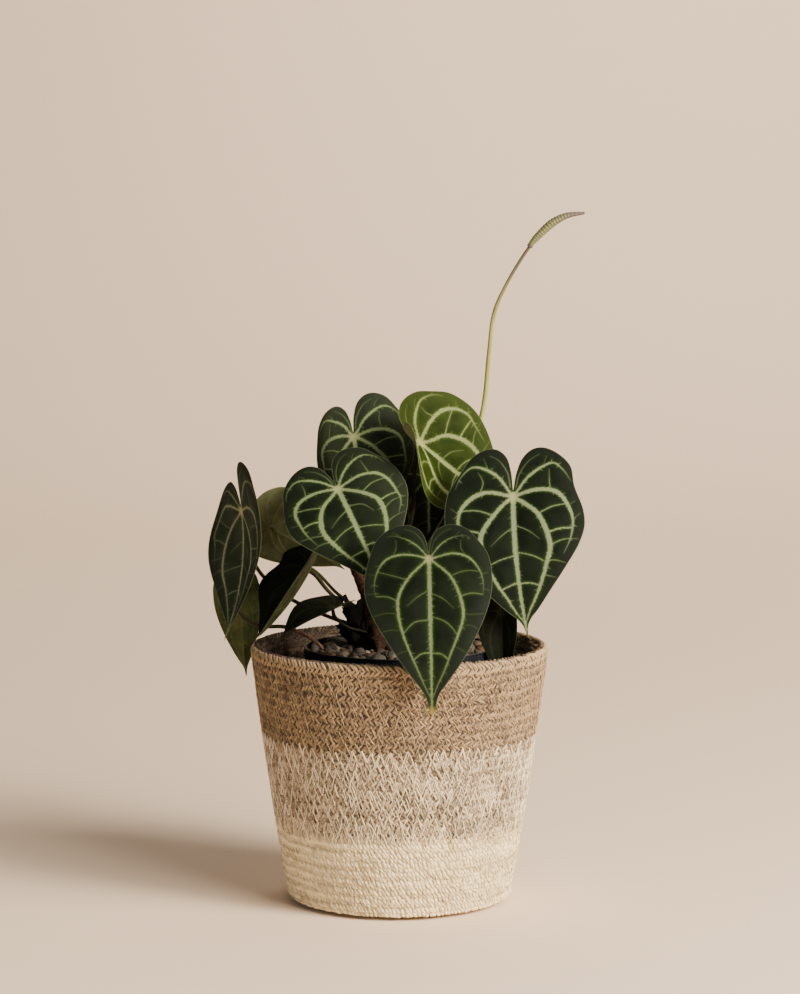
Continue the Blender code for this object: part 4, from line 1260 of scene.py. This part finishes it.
def stitches(rows, rng, half_height, radius, pitch, hidden):
    """Uneven zigzag thread legs over the grooves below the given rows.

    Hidden gives the share of falling and of rising legs that don't show.
    """
    paths, radii, facing, tones = [], [], [], []
    for row in rows:
        groove = row * ROW_PITCH
        count = round(math.tau * basket_radius(groove) / pitch)
        step = math.tau / (2 * count)
        shift = rng.random()
        corners = [((k + shift + rng.uniform(-0.3, 0.3)) * step,
                    groove + (1 if k % 2 else -1) * half_height * rng.uniform(0.7, 1.2))
                   for k in range(2 * count)]
        corners.append((corners[0][0] + math.tau, corners[0][1]))
        for (start, first), (end, last) in zip(corners, corners[1:]):
            if rng.random() < hidden[0 if last < first else 1]:
                continue
            radii.append([radius * rng.uniform(0.7, 1.25)] * 5)
            bow = rng.uniform(-0.18, 0.18) * (end - start)
            path = []
            for share, lift in ((0.0, -1.6), (0.12, 0.45), (0.5, 0.2), (0.88, 0.45), (1.0, -1.6)):
                z = min(max(first + (last - first) * share, 1.0), BASKET_HEIGHT - 0.8)
                angle = start + (end - start) * share + bow * math.sin(math.pi * share)
                over = max(0.0, z - BASKET_HEIGHT + RIM_ROLL) / RIM_ROLL
                reach = basket_radius(z) + lift - RIM_ROLL * (1 - math.sqrt(1 - over * over))
                path.append(around(reach, angle, z))
            paths.append(path)
            facing.append(around(1.0, (start + end) / 2, 0.0))
            tones += [rng.uniform(0.1, 0.95)] * 20
    return *batch_tubes(paths, radii, facing, 4), tones


def make_basket():
    """Cords, their plies and the stitching of each band, and loose hairs."""
    wide = BASKET_WALL / 2
    for band in BANDS:
        name = band["name"]
        groove = band["groove"]
        rings, rows = [], []
        for row in range(*band["rows"]):
            high = band["plump"] * ROW_PITCH
            middle = (row + 0.5) * ROW_PITCH
            halves = [(-72, 6, band["below"]), (-6, 72, band["above"])]
            if row == 0:
                high = 0.5 * ROW_PITCH
                middle = high + FOOT_CLEARANCE
            if row == CORD_ROWS - 1:
                middle = BASKET_HEIGHT - high
                halves.append((78, 150, band["below"]))
            rows.append((middle, high, halves))
            rings.append(ring(basket_radius(middle) - wide, middle, wide - 0.4, high - 0.3, row,
                              groove))
            if row == 0:
                rings += floor_rings()
        cords = piece("cords_" + name, *waving(*joined(rings)),
                      cord_material(name + "_cord", *band["cord"], band["uneven"], plied=True),
                      name + "_cord", tone=np.concatenate([part[2] for part in rings]))
        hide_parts(band["node"])
        seed = band["rows"][1]
        *shape, tones = strands(rows, random.Random(seed), *band["plies"])
        piece("strands_" + name, *waving(*shape),
              cord_material(name + "_strand", *band["cord"], band["uneven"]),
              name + "_cord", tone=tones)
        seams = list(range(*band["seams"])) * band["layers"]
        *shape, tones = stitches(seams, random.Random(seed + 50), *band["zigzag"],
                                 band["hidden"])
        thread = cord_material(name + "_thread", *band["thread"], band["uneven"])
        piece("stitches_" + name, *waving(*shape), thread, name + "_cord", tone=tones)
    make_fibres(thread)


def floor_rings():
    """Cords of the floor. The outer ones stand up from the ground."""
    step = (BASKET_FOOT_RADIUS - 2) / FLOOR_RINGS
    wide = BASKET_WALL / 2
    for k in range(FLOOR_RINGS):
        radius = step * (k + 0.5)
        rise = FOOT_CLEARANCE * min(max((radius - 60) / 8, 0), 1)
        yield ring(radius, wide + 0.2 + rise, step * 0.56, wide, 40 + k, 0.0,
                   max(16, int(math.tau * radius / 2.6)))


def make_fibres(mat):
    """Loose hairs that stick out of the jute near the rim."""
    rng = random.Random(23)
    paths, facing = [], []
    for _ in range(220):
        angle = rng.uniform(0, math.tau)
        inner = rng.random() < 0.6
        z = BASKET_HEIGHT - rng.uniform(0.5, 9 if inner else 60)
        start = Vector(around(basket_radius(z) - (BASKET_WALL + 0.3 if inner else 0.8), angle, z))
        out = Vector(around(-1 if inner else 1, angle, 0))
        side = Vector((-math.sin(angle), math.cos(angle), 0))
        way = (out * rng.uniform(0.3, 1) + side * rng.uniform(-1.2, 1.2)
               + Vector((0, 0, rng.uniform(-0.4, 1.0)))).normalized() * rng.uniform(1.5, 4.5)
        bend = side * rng.uniform(-1.2, 1.2) + Vector((0, 0, rng.uniform(-1.2, 0.4)))
        paths.append([tuple(start + way * t + bend * t * t) for t in (0, 0.25, 0.5, 0.75, 1)])
        facing.append(tuple(side.cross(way).normalized()))
    verts, faces = batch_tubes(paths, [[0.13, 0.12, 0.11, 0.09, 0.05]] * len(paths), facing, 3)
    piece("jute_hairs", verts, faces, mat, "jute_cord", tone=np.full(len(verts), 0.8))


def main():
    skins = {name: leaf_material(name, *colours) for name, colours in LEAF_SKINS.items()}
    stalks = {name: stalk_material(name, **values) for name, values in STALK_SKINS.items()}
    for number, leaf in LEAVES.items():
        make_leaf(number, leaf, skins[leaf["skin"]])
        make_petiole(number, leaf, stalks[leaf.get("stalk", "petiole_skin")])
    make_stem(stalks["stem_skin"], stalks["dry_scale"])
    make_flower(stalks["stalk_skin"], spadix_material())
    make_bed(speckled_material("bed", (0.012, 0.008, 0.006), (0.05, 0.032, 0.02), 2, 0.95, 0.8))
    make_gravel(pebble_material())
    make_pot()
    make_basket()


def make_stage():
    """A pale floor that rises into a far backdrop, in metres."""
    depth, front, width, bend, top = 4.2, -2.4, 2.8, 1.8, 5.0
    steps = 16
    profile = [(front, 0.0), (depth - bend, 0.0)]
    for k in range(1, steps + 1):
        angle = math.pi / 2 * k / steps
        profile.append((depth - bend + bend * math.sin(angle), bend - bend * math.cos(angle)))
    profile.append((depth, top))
    verts = [(side * width, y, z) for y, z in profile for side in (-1, 1)]
    faces = [(2 * k, 2 * k + 1, 2 * k + 3, 2 * k + 2) for k in range(len(profile) - 1)]
    mesh = bpy.data.meshes.new("backdrop")
    mesh.from_pydata(verts, [], faces)
    mesh.shade_smooth()
    n = Nodes("paper")
    n.bump(n.noise(4, detail=2), 0.05, 0.2)
    mesh.materials.append(n.finish(PAPER_COLOUR, 0.9))
    added("backdrop", mesh)


def added(name, data):
    """A new object in the scene."""
    obj = bpy.data.objects.new(name, data)
    bpy.context.scene.collection.objects.link(obj)
    return obj


def make_light(name, place, aim, size, power, colour):
    light = bpy.data.lights.new(name, "AREA")
    light.shape = "DISK"
    light.size = size
    light.energy = power
    light.color = colour
    obj = added(name, light)
    obj.location = place
    obj.rotation_euler = (Vector(aim) - Vector(place)).to_track_quat("-Z", "Y").to_euler()


def make_camera():
    """Camera two metres in front and slightly above, looking a little down."""
    camera = bpy.data.cameras.new("camera")
    camera.sensor_width = 36
    camera.lens = CAMERA_LENS
    obj = added("camera", camera)
    obj.location = CAMERA_PLACE
    obj.rotation_euler = (math.pi / 2 - CAMERA_FALL, 0, 0)
    bpy.context.scene.camera = obj


def make_world():
    """Dim bluish light from all round. Past the floor's edge the room looks pale."""
    world = bpy.data.worlds.new("studio")
    world.use_nodes = True
    nodes = world.node_tree.nodes
    links = world.node_tree.links
    background = nodes["Background"]
    background.inputs["Color"].default_value = SKY_COLOUR
    background.inputs["Strength"].default_value = SKY_STRENGTH
    room = nodes.new("ShaderNodeBackground")
    room.inputs["Color"].default_value = ROOM_COLOUR
    mix = nodes.new("ShaderNodeMixShader")
    links.new(nodes.new("ShaderNodeLightPath").outputs["Is Camera Ray"], mix.inputs[0])
    links.new(background.outputs[0], mix.inputs[1])
    links.new(room.outputs[0], mix.inputs[2])
    links.new(mix.outputs[0], nodes["World Output"].inputs["Surface"])
    bpy.context.scene.world = world


main()
make_stage()
make_camera()
make_world()
for light, values in LIGHTS.items():
    make_light(light, *values)
